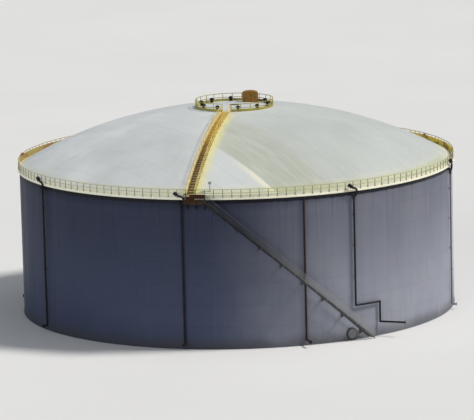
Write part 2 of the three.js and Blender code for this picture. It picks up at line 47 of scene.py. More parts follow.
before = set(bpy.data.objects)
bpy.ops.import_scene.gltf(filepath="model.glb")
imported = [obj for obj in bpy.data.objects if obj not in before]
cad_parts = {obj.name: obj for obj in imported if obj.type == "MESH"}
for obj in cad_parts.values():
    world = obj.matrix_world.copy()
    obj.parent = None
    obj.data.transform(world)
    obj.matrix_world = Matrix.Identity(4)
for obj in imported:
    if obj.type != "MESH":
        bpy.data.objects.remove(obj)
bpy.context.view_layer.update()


def measure(node, corner, axis):
    """A node's lowest (0) or highest (1) place along an axis, to a tenth of a millimetre."""
    return round(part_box(node)[corner][axis], 4)


SHELL_RADIUS = measure("shell_segment_2", 1, 0)
SHELL_FOOT = measure("shell_segment_2", 0, 2)
RIM = measure("shell_segment_2", 1, 2)
BOTTOM_RADIUS = measure("bottom_plate", 1, 0)
CURB_RADIUS = measure("curb_section_2", 1, 0)
CURB_FOOT = measure("curb_section_2", 0, 2)
RAIL_HEIGHT = round(measure("rim_rail_1", 1, 2) - RIM, 4)
LANDING_LEVEL = measure("landing_rail", 0, 2)
CROWN_RADIUS = measure("crown_plate", 1, 0)

# The roof is a spherical cap through the rim and the crown plate's edge.
PETAL_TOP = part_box("roof_petal_2")[1].z
ROOF_CENTRE = (PETAL_TOP**2 + CROWN_RADIUS**2 - RIM**2 - SHELL_RADIUS**2) / (2 * (PETAL_TOP - RIM))
ROOF_SPHERE = hypot(SHELL_RADIUS, RIM - ROOF_CENTRE)

TURN = 2 * pi
UP = Vector((0, 0, 1))
SEAT = 0.0005  # how far a piece stands off the plate that carries it


def roof_height(radius):
    """Height of the roof's outer face over the ground."""
    return ROOF_CENTRE + sqrt(ROOF_SPHERE**2 - radius**2)


def around(bearing, radius, height, aside=0.0):
    """The point at a bearing in radians, a radius and a height, moved aside as bearings grow."""
    x, y = sin(bearing), -cos(bearing)
    return Vector((radius * x - aside * y, radius * y + aside * x, height))


def arc(first, last, radius, height, steps):
    """Points along an arc about the tank's axis."""
    return [around(first + (last - first) * i / steps, radius, height) for i in range(steps + 1)]


def oblong(near, far, low, high):
    """The corners of an upright rectangle, as (radius, height) points."""
    return [(near, low), (far, low), (far, high), (near, high)]


# Sizes and colours


def count(name, description, default):
    return bpy.props.IntProperty(name=name, description=description, default=default, min=3)


def length(name, description, default):
    return bpy.props.FloatProperty(
        name=name, description=description, default=default, min=0, unit="LENGTH"
    )


def angle(name, description, degrees):
    return bpy.props.FloatProperty(
        name=name, description=description, default=radians(degrees), subtype="ANGLE"
    )


def colour(name, description, shade):
    return bpy.props.FloatVectorProperty(
        name=name, description=description, default=shade, subtype="COLOR", min=0, max=1
    )


class TankBodySizes(bpy.types.PropertyGroup):
    """Plates of the shell and the roof"""

    courses: count("Courses", "Rings of plates in the shell", 7)
    plates: count("Plates", "Plates in each ring of the shell", 17)
    stagger: bpy.props.FloatProperty(
        name="Stagger", description="Shift of each ring's joints, in plates", default=0.37
    )
    bead: length("Bead", "Half the width of a weld bead", 0.006)
    roof_strip: length("Roof Strip", "Width of a roof plate", 1.16)
    roof_plate: length("Roof Plate", "Length of a roof plate", 4.4)
    strip_bearing: angle("Strip Bearing", "Bearing that the roof's strips run along", 37.2)
    crown_ring: length("Crown Ring", "Radius of the crown's handrail", 2.325)
    vent_ring: length("Vent Ring", "Radius of the circle of vents", 2.025)
    vents: count("Vents", "Vents round the crown", 10)


class RailSizes(bpy.types.PropertyGroup):
    """Handrails of the rim, crown, stair and walkway"""

    rim_bays: count("Rim Bays", "Bays of the rim handrail", 158)
    tube: length("Tube", "Radius of a rail's tube", 0.016)
    kick_plate: length("Kick Plate", "Height of the plate at foot level", 0.15)
    rear_plate: length("Rear Plate", "Height of the taller plate round the rear", 0.35)
    gap_first: angle("Gap Start", "Where the walkway's gap in the rim rail starts", -12.6)
    gap_last: angle("Gap End", "Where the walkway's gap in the rim rail ends", -10.336)


class StairSizes(bpy.types.PropertyGroup):
    """Stair round the shell and walkway over the roof"""

    flights: count("Flights", "Flights of the stair", 4)
    risers: count("Risers", "Risers in a flight", 21)
    run: length("Run", "Length of a flight along the shell", 2.42)
    landing_start: angle("Landing Start", "Bearing of the landing's closed end", -12.75)
    head_bearing: angle("Head Bearing", "Bearing of the stair's head, at the landing's end", -7.7)
    gap: length("Gap", "Space between the shell and the stair", 0.13)
    width: length("Width", "Width of the stair", 0.381)
    walkway_bearing: angle("Walkway Bearing", "Bearing of the roof walkway", -11.6)
    walkway_width: length("Walkway Width", "Width of the roof walkway", 0.45)


class PipeSizes(bpy.types.PropertyGroup):
    """Pipework on the shell"""

    foam_pipe: length("Foam Pipe", "Radius of a foam line's pipe", 0.055)
    drum: length("Drum", "Radius of a foam drum", 0.1)
    riser: length("Riser", "Radius of the water riser", 0.055)


class PaintColours(bpy.types.PropertyGroup):
    """Colours of the paints"""

    shell: colour("Shell", "Paint of the shell plates", (0.265, 0.283, 0.35))
    roof: colour("Roof", "Paint of the roof plates", (0.70, 0.73, 0.745))
    cream: colour("Cream", "Paint of the curb", (0.93, 0.90, 0.72))
    yellow: colour("Yellow", "Paint of the rim handrail", (0.45, 0.31, 0.03))
    crown_rail: colour("Crown Rail", "Paint of the crown's handrail", (0.42, 0.37, 0.08))
    walkway_rail: colour("Walkway Rail", "Paint of the walkway's rails", (0.80, 0.66, 0.24))
    ochre: colour("Ochre", "Paint of the walkway", (0.76, 0.50, 0.10))
    hood: colour("Hood", "Rusted paint of the vent hood", (0.35, 0.18, 0.03))
    board: colour("Board", "Paint of the landing's board", (0.06, 0.010, 0.003))
    # The stair's dark paint and the stringers' near-black are painted shade on the shaded upper
    # stair; the stringers' near-black also stands for their cast shadow.
    stair: colour("Stair", "Paint of the stair's treads and rail", (0.075, 0.078, 0.085))
    stringer: colour("Stringer", "Paint of the stair's side plates", (0.022, 0.022, 0.028))
    manhole: colour("Manhole", "Paint of the manhole covers", (0.20, 0.205, 0.22))
    dark: colour("Dark", "Paint of the foam lines", (0.018, 0.017, 0.024))
    red_brown: colour("Red Brown", "Paint of the water riser", (0.035, 0.016, 0.02))
    rust: colour("Rust", "Rust where the paint has failed", (0.13, 0.045, 0.018))
    grey: colour("Grey", "Bare galvanised steel", (0.42, 0.44, 0.45))


def sizes(context, group):
    """The scene's settings for the body, rails, stair, pipes or paints."""
    return getattr(context.scene, "tank_" + group)


# Node trees


class Value:
    """A socket of a node tree, with the arithmetic that Math nodes do."""

    def __init__(self, graph, socket):
        self.graph = graph
        self.socket = socket

    def __add__(self, other):
        return self.graph.math("ADD", self, other)

    def __radd__(self, other):
        return self.graph.math("ADD", other, self)

    def __sub__(self, other):
        return self.graph.math("SUBTRACT", self, other)

    def __rsub__(self, other):
        return self.graph.math("SUBTRACT", other, self)

    def __mul__(self, other):
        return self.graph.math("MULTIPLY", self, other)

    def __rmul__(self, other):
        return self.graph.math("MULTIPLY", other, self)

    def __truediv__(self, other):
        return self.graph.math("DIVIDE", self, other)

    def __rtruediv__(self, other):
        return self.graph.math("DIVIDE", other, self)

    def __neg__(self):
        return self * -1.0


class Graph:
    """A node tree that is written as expressions."""

    def __init__(self, tree):
        self.tree = tree
        tree.nodes.clear()

    def node(self, kind, sockets=None, settings=None, output=0):
        """Adds a node: its settings first, then the values or links of its sockets."""
        made = self.tree.nodes.new(kind)
        for key, setting in (settings or {}).items():
            setattr(made, key, setting)
        for key, given in (sockets or {}).items():
            for value in given if isinstance(given, list) else [given]:
                if isinstance(value, Value):
                    self.tree.links.new(value.socket, made.inputs[key])
                else:
                    made.inputs[key].default_value = value
        return Value(self, made.outputs[output]) if len(made.outputs) else made

    def math(self, operation, *values):
        return self.node("ShaderNodeMath", dict(enumerate(values)), {"operation": operation})

    def length(self, x, y):
        return self.math("SQRT", x * x + y * y)

    def vector(self, x=0.0, y=0.0, z=0.0):
        return self.node("ShaderNodeCombineXYZ", {"X": x, "Y": y, "Z": z})


class Finish(Graph):
    """A painted or bare surface, whose pattern reads the object's own coordinates."""

    def __init__(self, name):
        self.material = bpy.data.materials.new("tank_" + name)
        self.material.use_nodes = True
        super().__init__(self.material.node_tree)
        self.place = self.node("ShaderNodeTexCoord", output="Object")
        split = self.node("ShaderNodeSeparateXYZ", {"Vector": self.place}).socket.node
        self.x, self.y, self.z = (Value(self, output) for output in split.outputs)

    @cached_property
    def bearing(self):
        return self.math("ARCTAN2", self.x, -self.y)

    @cached_property
    def radius(self):
        return self.length(self.x, self.y)

    def scaled(self, x, y, z, shift=(0, 0, 0)):
        """The place stretched along the axes, which makes streaks and grains."""
        sockets = {"Vector": self.place, "Scale": (x, y, z), "Location": shift}
        return self.node("ShaderNodeMapping", sockets)

    def noise(self, vector, scale=1.0, detail=4.0, roughness=0.55):
        sockets = {"Vector": vector, "Scale": scale, "Detail": detail, "Roughness": roughness}
        return self.node("ShaderNodeTexNoise", sockets)

    def between(self, value, low, high, start=0.0, end=1.0):
        """Runs smoothly from start to end as the value goes from low to high."""
        sockets = {"Value": value, 1: low, 2: high, 3: start, 4: end}
        return self.node("ShaderNodeMapRange", sockets, {"interpolation_type": "SMOOTHSTEP"})

    def mixed(self, share, first, second, blend="MIX"):
        pair = [each if isinstance(each, Value) else (*each[:3], 1) for each in (first, second)]
        settings = {"data_type": "RGBA", "blend_type": blend}
        return self.node("ShaderNodeMix", {0: share, 6: pair[0], 7: pair[1]}, settings, 2)

    def over(self, base, stain, value, low, high, most=1.0, blend="MIX"):
        """A stain over the base, at its most where the value reaches high."""
        return self.mixed(self.between(value, low, high, 0.0, most), base, stain, blend)

    def tone(self, *cell):
        """A random tone for a cell of three whole numbers."""
        sockets = {"Vector": self.vector(*cell)}
        return self.node("ShaderNodeTexWhiteNoise", sockets, {"noise_dimensions": "3D"})

    def finished(self, base, roughness, height=None, depth=0.002, metallic=0.0, shine=0.5):
        sockets = {"Base Color": base, "Roughness": roughness, "Metallic": metallic}
        sockets["Specular IOR Level"] = shine
        if height is not None:
            bump = {"Height": height, "Distance": depth, "Strength": 1.0}
            sockets["Normal"] = self.node("ShaderNodeBump", bump)
        shader = self.node("ShaderNodeBsdfPrincipled", sockets)
        self.node("ShaderNodeOutputMaterial", {"Surface": shader})


# Paints and metals

BLACK = (0.0, 0.0, 0.0)


def dimmed(shade, share):
    return tuple(channel * share for channel in shade)


def toned(shade, other, share):
    return tuple(a + (b - a) * share for a, b in zip(shade, other))


def shell_light(f, base, cloud, fine):
    """Painted light and shade: paler low down and darker high up, darker on the left and behind,
    and a black painted shadow under the curb.
    """
    # Painted light and shade: paler low down, where the floor's bounce light falls, and darker high
    # up.
    pale = f.mixed(1.0, base, (1.25, 1.24, 1.2), "MULTIPLY")
    darkened = f.mixed(1.0, base, (0.7, 0.7, 0.72), "MULTIPLY")
    base = f.mixed(f.between(f.z + (cloud - 0.5) * 2, 1.0, RIM - 0.4), pale, darkened)
    # Painted shade on the side away from the key light: a tenth darker towards the front from
    # bearing 80 degrees, then navy on the left and round the back.
    side = f.bearing + (cloud - 0.5) * 0.12
    base = f.over(base, (0.9, 0.9, 0.9), side, radians(80), radians(20), blend="MULTIPLY")
    shaded_side = f.between(side, radians(30), radians(-12))
    far = f.between(side, radians(-100), radians(-150))
    base = f.mixed(shaded_side, base, f.mixed(far, (0.17, 0.21, 0.335), (0.3, 0.37, 0.54)), "MULTIPLY")
    behind = f.between(side, radians(150), radians(178))
    base = f.mixed(behind, base, (0.27, 0.335, 0.49), "MULTIPLY")
    shaded_side = shaded_side + behind
    # Painted shade under the curb on the shaded side, and a painted black shadow just under its
    # overhang.
    shade = f.between(f.z, CURB_FOOT - 0.8, CURB_FOOT - 0.15) * f.between(shaded_side, 0, 1, 0.15, 0.6)
    base = f.mixed(shade, base, (0.25, 0.28, 0.36), "MULTIPLY")
    painted_curb_shadow = f.between(f.z + (fine - 0.5) * 0.12, CURB_FOOT - 0.28, CURB_FOOT - 0.2)
    return f.mixed(painted_curb_shadow * f.between(shaded_side, 0, 1, 0.85, 1.0), base, (0.006, 0.006, 0.01))


def shell_paint(paints, body):
    """Blue-grey paint, a tone for each plate, streaks down from the curb, darker towards the foot,
    and painted light and shade from shell_light with a paler sunlit strip on the right.
    """
    own = paints.shell
    f = Finish("shell_paint")
    course = f.math("FLOOR", (f.z - SHELL_FOOT) / ((RIM - SHELL_FOOT) / body.courses))
    along = f.bearing * (body.plates / TURN) - course * body.stagger
    plate = f.math("FLOORED_MODULO", f.math("FLOOR", along), body.plates)
    streak = f.noise(f.scaled(1.6, 1.6, 0.05), detail=5)
    fine_streak = f.noise(f.scaled(9, 9, 0.16, (4, 2, 0)), detail=6)
    cloud = f.noise(f.place, 0.35, 4)
    patch = f.noise(f.scaled(0.9, 0.9, 1.2, (3, 8, 2)), detail=6, roughness=0.62)
    base = f.mixed(f.between(streak, 0.32, 0.68), dimmed(own, 0.93), own)
    base = f.over(base, toned(own, (0.5, 0.49, 0.5), 0.3), cloud, 0.42, 0.7, 0.5)
    base = f.over(base, toned(own, (0.36, 0.29, 0.27), 0.4), patch, 0.5, 0.72, 0.35)
    base = f.mixed(f.tone(plate, course, 3.0) * 0.16, base, dimmed(own, 0.7))
    grime = f.between(fine_streak, 0.5, 0.74) * (0.06 + 0.3 * f.between(f.z, RIM - 4.5, RIM - 0.1))
    base = f.mixed(grime, base, (0.07, 0.066, 0.075))
    chalk = f.noise(f.scaled(6, 6, 0.1, (9, 1, 5)), detail=5)
    base = f.over(base, (0.46, 0.46, 0.47), chalk, 0.58, 0.78, 0.2)
    base = shell_light(f, base, cloud, fine_streak)
    # Painted light: a paler sunlit strip on the right of the shell, from about 75 to 110 degrees,
    # above its lowest metres.
    painted_sunlit_edge = f.between(f.bearing + (streak - 0.5) * 0.16, radians(70), radians(80))
    painted_sunlit_edge *= f.between(f.bearing + (cloud - 0.5) * 0.5, radians(135), radians(88))
    painted_sunlit_edge *= f.between(f.z + (cloud - 0.5) * 2.5, 0.6, 2.8)
    base = f.mixed(painted_sunlit_edge * 0.55, base, (0.60, 0.61, 0.68))
    base = f.over(base, (0.06, 0.056, 0.055), f.z + (cloud - 0.5) * 0.9, 0.85, 0.02, 0.6)
    base = f.over(base, paints.rust, f.noise(f.place, 5.5, 6, 0.7), 0.7, 0.77, 0.8)
    roughness = f.between(streak, 0.25, 0.75, 0.46, 0.62) + grime * 0.2
    wave = f.noise(f.scaled(0.5, 0.5, 1.1), detail=2) + 0.04 * f.noise(f.place, 60, 2)
    f.finished(base, roughness, wave, 0.02, shine=0.2)


def roof_paint(paints, body, walkway_bearing):
    """Chalky white paint over lapped plates, with one beige strip, stains at the rim, and cream
    beside the walkway, partly stain and partly painted light.
    """
    own = paints.roof
    f = Finish("roof_paint")
    strip = body.strip_bearing
    across = f.x * cos(strip) + f.y * sin(strip)
    along = f.x * sin(strip) - f.y * cos(strip)
    row = f.math("FLOOR", across / body.roof_strip)
    shifted = (along + row * (body.roof_plate * body.stagger)) / body.roof_plate
    plate = f.tone(row, f.math("FLOOR", shifted), 1.0)
    cloud = f.noise(f.place, 0.42, 5)
    patch = f.noise(f.scaled(1, 1, 1, (7, 3, 1)), 1.5, 6, 0.62)
    grain = f.noise(f.place, 9, 6, 0.7)
    run = f.noise(f.vector(f.bearing * 30, f.radius * 0.22, 2.0), 1.0, 5)
    brushed = f.noise(f.vector(across * 7, along * 0.35, 1.0), 1.0, 5, 0.6)
    base = f.mixed(f.between(cloud, 0.35, 0.65), dimmed(own, 0.93), own)
    base = f.over(base, (0.51, 0.537, 0.52), f.x, -10, 8, 0.88)
    darkened = f.between(f.y, -2, -7) * f.between(f.x, -9.5, -7) * f.between(f.x, -1.5, -3.5)
    base = f.mixed(darkened * 0.14, base, BLACK)
    base = f.over(base, (0.60, 0.64, 0.60), patch, 0.5, 0.7, 0.3)
    base = f.mixed(plate * 0.12, base, (0.50, 0.54, 0.56))
    base = f.over(base, (0.48, 0.50, 0.47), run, 0.52, 0.75, 0.22)
    from_walkway = f.bearing - walkway_bearing
    beige = f.between(across, -5.84, -5.76) * f.between(across, -2.9, -2.0, 1, 0.45)
    beige *= f.between(across, -5.8, 2.6, 1.0, 0.25) * f.between(f.y, -2.2, -2.9)
    beige *= f.between(from_walkway, 0.01, 0.05) * f.between(brushed, 0.35, 0.65, 0.595, 1.105)
    base = f.mixed(beige, base, (0.77, 0.775, 0.645), "MULTIPLY")
    # Cream beside the walkway: partly stain, partly painted light, as a sunlit glow on its right
    # and cream over its shadow on its left.
    beside = from_walkway * f.radius
    stain_and_painted_glow = f.between(beside, 0.9, 0.25) * f.between(beside, -0.62, -0.3)
    stain_and_painted_glow *= f.between(cloud, 0.3, 0.6, 0.6, 0.95) * f.between(f.radius, 2.2, 3.4)
    glow = f.mixed(f.between(beside, -0.1, 0.1), (0.74, 0.62, 0.36), (0.74, 0.71, 0.34))
    base = f.mixed(stain_and_painted_glow, base, glow)
    seam_side = f.between(across, -6.35, -5.9) * f.between(across, -5.8, -5.78, 1, 0)
    seam_side *= f.between(f.radius, 8.5, 12.5) * f.between(from_walkway, 0.02, 0.06)
    base = f.mixed(seam_side * 0.75, base, (0.86, 0.82, 0.60))
    rim_stain = f.between(f.radius + (patch - 0.5) * 1.6, 11.7, 12.95, 0, 0.75)
    rim_stain *= f.between(grain, 0.4, 0.62, 0.35, 0.85) * f.between(f.x, -9, -1, 0.4, 1)
    base = f.mixed(rim_stain, base, (0.72, 0.70, 0.46))
    margin = f.between(f.radius, 12.2, 12.4) * f.between(f.y, -1.0, -4.0)
    margin *= f.between(f.x, -9, -1, 0.35, 0.85)
    base = f.mixed(margin, base, (0.88, 0.90, 0.74), "MULTIPLY")
    worn = f.between(f.x, 0, 3) * f.between(f.x, 9, 6) * f.between(f.y, -1, -4)
    base = f.mixed(worn * 0.07, base, BLACK)
    base = f.over(base, (0.50, 0.52, 0.38), f.noise(f.place, 3.1, 7, 0.72), 0.6, 0.7, 0.3)
    spots = f.noise(f.scaled(1, 1, 1, (2, 8, 4)), 6.3, 6, 0.75)
    base = f.over(base, toned(paints.rust, paints.ochre, 0.4), spots, 0.72, 0.77, 0.7)
    roughness = f.between(cloud, 0.3, 0.7, 0.55, 0.7)
    f.finished(base, roughness, f.noise(f.place, 0.9, 3) + 0.03 * grain, 0.03)


def weathered_paint(
    name, own, rust, worn=0.62, scale=1.0, gloss=0.5, shine=0.4, front=None, low=None
):
    """Paint that fades in clouds and breaks through to rust, paler in front or low down."""
    f = Finish(name)
    fade = f.noise(f.place, 1.3 * scale, 5)
    spot = f.noise(f.scaled(1, 1, 0.6, (3, 5, 7)), 7 * scale, 7, 0.68)
    grain = f.noise(f.place, 45 * scale, 4, 0.6)
    base = f.mixed(f.between(fade, 0.35, 0.65), dimmed(own, 0.78), own)
    if front is not None:
        base = f.over(base, front, f.y + (fade - 0.5) * 3, 1.5, -2.5)
    # Paler low down, used for the stair: painted light where it comes round into the lit side of
    # the shell.
    if low is not None:
        base = f.over(base, low, f.z + (fade - 0.5), 7.0, 2.2)
    broken = f.between(spot + (grain - 0.5) * 0.12, worn, worn + 0.07)
    base = f.mixed(broken, base, rust)
    roughness = f.between(broken, 0, 1, gloss, 0.86)
    f.finished(base, roughness, grain * 0.4 - broken, 0.0012, shine=shine)


def sunned_pipe_paint(paints):
    """Dark paint at the head of the line, and grey all down its pipe as painted sunlight."""
    f = Finish("sunned_pipe_paint")
    spot = f.noise(f.scaled(3, 3, 0.8), detail=6)
    # Painted light: below its head the pipe is painted grey for the sunlight on it.
    faded = f.z + (spot - 0.5) * 0.3
    base = f.over(paints.dark, (0.23, 0.215, 0.26), faded, RIM - 0.45, RIM - 0.75)
    base = f.over(base, dimmed(paints.rust, 0.6), spot, 0.6, 0.7, 0.7)
    f.finished(base, 0.6, spot, 0.001, shine=0.2)


def landing_steel_paint(paints):
    """Rusty brown on the deck and its fascia, and painted shade on the brackets: the shaded shell's
    dark blue.
    """
    f = Finish("landing_paint")
    patch = f.noise(f.place, 3, 5, 0.6)
    grain = f.noise(f.place, 30, 5, 0.6)
    base = f.over((0.040, 0.022, 0.010), (0.075, 0.04, 0.015), patch, 0.4, 0.62)
    # Painted shade: the brackets under the deck take the shaded shell's dark blue.
    base = f.over(base, (0.045, 0.042, 0.055), f.z, LANDING_LEVEL - 0.08, LANDING_LEVEL - 0.11)
    base = f.over(base, dimmed(paints.rust, 0.3), grain, 0.64, 0.74, 0.6)
    f.finished(base, f.between(grain, 0.3, 0.7, 0.55, 0.85), grain, 0.001, shine=0.15)


def kick_plate_paint(paints):
    """Golden paint with brown patches behind, faded to cream in front."""
    f = Finish("kick_paint")
    patch = f.noise(f.scaled(0.8, 0.8, 1.4, (4, 4, 4)), detail=5, roughness=0.6)
    grain = f.noise(f.place, 26, 5, 0.6)
    base = f.over((0.84, 0.66, 0.075), (0.36, 0.28, 0.09), f.x, 6, -6)
    base = f.over(base, (0.28, 0.13, 0.04), patch, 0.5, 0.58, 0.8)
    base = f.over(base, (0.38, 0.40, 0.10), patch, 0.42, 0.34, 0.6)
    base = f.over(base, (0.78, 0.78, 0.60), f.y + (patch - 0.5) * 3, 1.0, -2.0)
    spots = f.between(grain + (patch - 0.5) * 0.5, 0.66, 0.74)
    base = f.mixed(spots * 0.8, base, paints.rust)
    f.finished(base, f.between(spots, 0, 1, 0.5, 0.85), grain, 0.001, shine=0.3)


def streaked_curb_paint(paints):
    """Cream paint with rust and green runs down the face of the curb."""
    f = Finish("curb_paint")
    runs = f.noise(f.scaled(5, 5, 0.7), detail=6)
    fine = f.noise(f.scaled(19, 19, 2.5, (5, 5, 5)), detail=5)
    cloud = f.noise(f.place, 0.6, 4)
    base = f.mixed(f.between(cloud, 0.35, 0.65), dimmed(paints.cream, 0.9), paints.cream)
    # Painted light: whiter cream towards the left, where the curb lies in shade.
    base = f.over(base, (1.0, 0.985, 0.83), f.x, 2, -4)
    base = f.over(base, (0.56, 0.41, 0.08), f.y + (cloud - 0.5) * 3, 0.5, 4.0)
    base = f.over(base, (0.66, 0.62, 0.38), runs, 0.52, 0.72, 0.35)
    base = f.over(base, paints.rust, fine, 0.64, 0.76, 0.7)
    f.finished(base, f.between(runs, 0.3, 0.7, 0.5, 0.68), fine, 0.001)


def walkway_paint(paints):
    """Ochre paint, worn brown and rusty towards the rim where the steps are steepest."""
    ochre, rust = paints.ochre, paints.rust
    f = Finish("walkway_paint")
    spot = f.noise(f.scaled(1, 1, 1, (1, 6, 2)), 2.6, 7, 0.66)
    grain = f.noise(f.place, 30, 4)
    low = f.between(f.radius + (spot - 0.5) * 5, 6.5, 10.5)
    worn = f.between(low, 0, 1, 0.2, 0.75)
    base = f.mixed(low, ochre, toned(ochre, rust, 0.8))
    base = f.mixed(f.between(spot, 0.52, 0.68) * worn, base, toned(rust, ochre, 0.25))
    base = f.mixed(f.between(grain, 0.6, 0.8) * worn, base, dimmed(rust, 0.6))
    f.finished(base, f.between(spot, 0.4, 0.65, 0.55, 0.85), grain, 0.001)


def galvanised_steel(paints):
    """Dull zinc grey with a faint spangle and a little white bloom."""
    f = Finish("galvanised_steel")
    cells = f.node("ShaderNodeTexVoronoi", {"Vector": f.place, "Scale": 22.0}, output="Color")
    cloud = f.noise(f.place, 1.7, 5)
    base = f.mixed(0.12, paints.grey, cells, "OVERLAY")
    base = f.over(base, (0.30, 0.31, 0.30), cloud, 0.45, 0.7, 0.5)
    base = f.over(base, paints.rust, f.noise(f.place, 9, 6, 0.7), 0.62, 0.72, 0.7)
    f.finished(base, f.between(cloud, 0.3, 0.7, 0.45, 0.62), cloud, 0.002, metallic=0.35)


def weld_bead_paint(name, own, rust):
    """The plate's own paint over a weld, darker, with rust in places."""
    f = Finish(name)
    spot = f.noise(f.place, 2.2, 7, 0.7)
    base = f.mixed(f.between(spot, 0.35, 0.65), dimmed(own, 0.6), dimmed(own, 0.82))
    base = f.over(base, toned(rust, own, 0.3), spot, 0.58, 0.7, 0.5)
    # The shell's beads take the same painted light and shade as its plates.
    if name == "shell_bead_paint":
        base = shell_light(f, base, f.noise(f.place, 0.35, 4), spot)
    f.finished(base, 0.6, f.noise(f.place, 60, 3), 0.001, shine=0.2)


def floor_paint():
    """Plain pale studio floor with a barely visible grain."""
    f = Finish("studio_floor")
    cloud = f.noise(f.place, 0.05, 3)
    f.finished(f.over((0.72, 0.718, 0.712), (0.74, 0.738, 0.732), cloud, 0.3, 0.7), 0.9)


def paint(name):
    material = bpy.data.materials.get("tank_" + name)
    if material is None:
        raise RuntimeError(f"the paint {name} isn't made yet: run the paints operator first")
    return material


# Shapes


def square_to(axis):
    """Two directions square to an axis and to each other."""
    across = axis.orthogonal().normalized()
    return across, axis.cross(across)


def circle(centre, plane, radius, sides, shift=0.0):
    """Points round a centre, in the plane of two directions."""
    angles = (TURN * (k + shift) / sides for k in range(sides))
    return [centre + (plane[0] * cos(a) + plane[1] * sin(a)) * radius for a in angles]


class Shape:
    """A mesh that is put together from plates, rods and turned profiles."""

    def __init__(self):
        self.bm = bmesh.new()

    def lofted(self, rings, closed=False):
        """Joins rings of points with quads. The ends are capped, or joined if it is closed."""
        rows = [[self.bm.verts.new(point) for point in ring] for ring in rings]
        for first, second in zip(rows, rows[1:] + (rows[:1] if closed else [])):
            for i in range(len(first)):
                j = (i + 1) % len(first)
                self.bm.faces.new((first[i], first[j], second[j], second[i]))
        if not closed:
            self.bm.faces.new(rows[0][::-1])
            self.bm.faces.new(rows[-1])

    def turned(self, profile, steps=288, first=0.0, last=TURN):
        """A closed profile of (radius, height) points turned about the tank's axis."""
        whole = abs(last - first - TURN) < 1e-6
        bearings = [first + (last - first) * i / steps for i in range(steps + (not whole))]
        self.lofted([[around(b, radius, z) for radius, z in profile] for b in bearings], whole)

    def plate(self, outline, bearing, half):
        """An upright plate at a bearing: its outline in (radius, height), and half its angle."""
        self.turned(outline, 1, bearing - half, bearing + half)

    def box(self, low, high, bearing=0.0):
        """A box between two corners, turned from the front to a bearing."""
        sides = ((low[0], low[1]), (high[0], low[1]), (high[0], high[1]), (low[0], high[1]))
        self.lofted([[around(bearing, -y, z, x) for x, y in sides] for z in (low[2], high[2])])

    def tube(self, path, radius, sides=8):
        """A round tube along a path."""
        rings = []
        across = None
        for i, point in enumerate(path):
            ahead = (path[min(i + 1, len(path) - 1)] - path[max(i - 1, 0)]).normalized()
            if across is None:
                across = ahead.orthogonal().normalized()
            across = (across - ahead * across.dot(ahead)).normalized()
            rings.append(circle(point, (across, ahead.cross(across)), radius, sides))
        self.lofted(rings)

    def lathe(self, base, axis, profile, sides=20):
        """Rings of (distance along the axis, radius) round an axis from a base point."""
        base, axis = Vector(base), axis.normalized()
        plane = square_to(axis)
        self.lofted([circle(base + axis * far, plane, max(r, 1e-4), sides) for far, r in profile])

    def into_object(self, name):
        bmesh.ops.recalc_face_normals(self.bm, faces=self.bm.faces)
        mesh = bpy.data.meshes.new(name)
        self.bm.to_mesh(mesh)
        self.bm.free()
        return linked(name, mesh)

    def finished(self, name, coat, slot, nodes=(), smooth=40):
        finish_piece(self.into_object(name), coat, nodes, smooth)


def linked(name, data):
    """A new object in the scene."""
    made = bpy.data.objects.new(name, data)
    bpy.context.scene.collection.objects.link(made)
    return made


def removed(made):
    """Takes an object and its mesh away."""
    mesh = made.data
    bpy.data.objects.remove(made)
    bpy.data.meshes.remove(mesh)


def numbered(name, last):
    """The names of a row of nodes, counted from 1."""
    return [f"{name}_{i + 1}" for i in range(last)]


def finish_piece(made, coat, nodes=(), smooth=40):
    """Gives a piece its paint and its place in the part."""
    made.data.materials.clear()
    made.data.materials.append(paint(coat))
    for polygon in made.data.polygons:
        polygon.use_smooth = smooth > 0
        polygon.material_index = 0
    if smooth:
        made.data.set_sharp_from_angle(angle=radians(smooth))
    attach(made, "root")
    if nodes:
        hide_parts(*nodes)


# Patterns made by Geometry Nodes


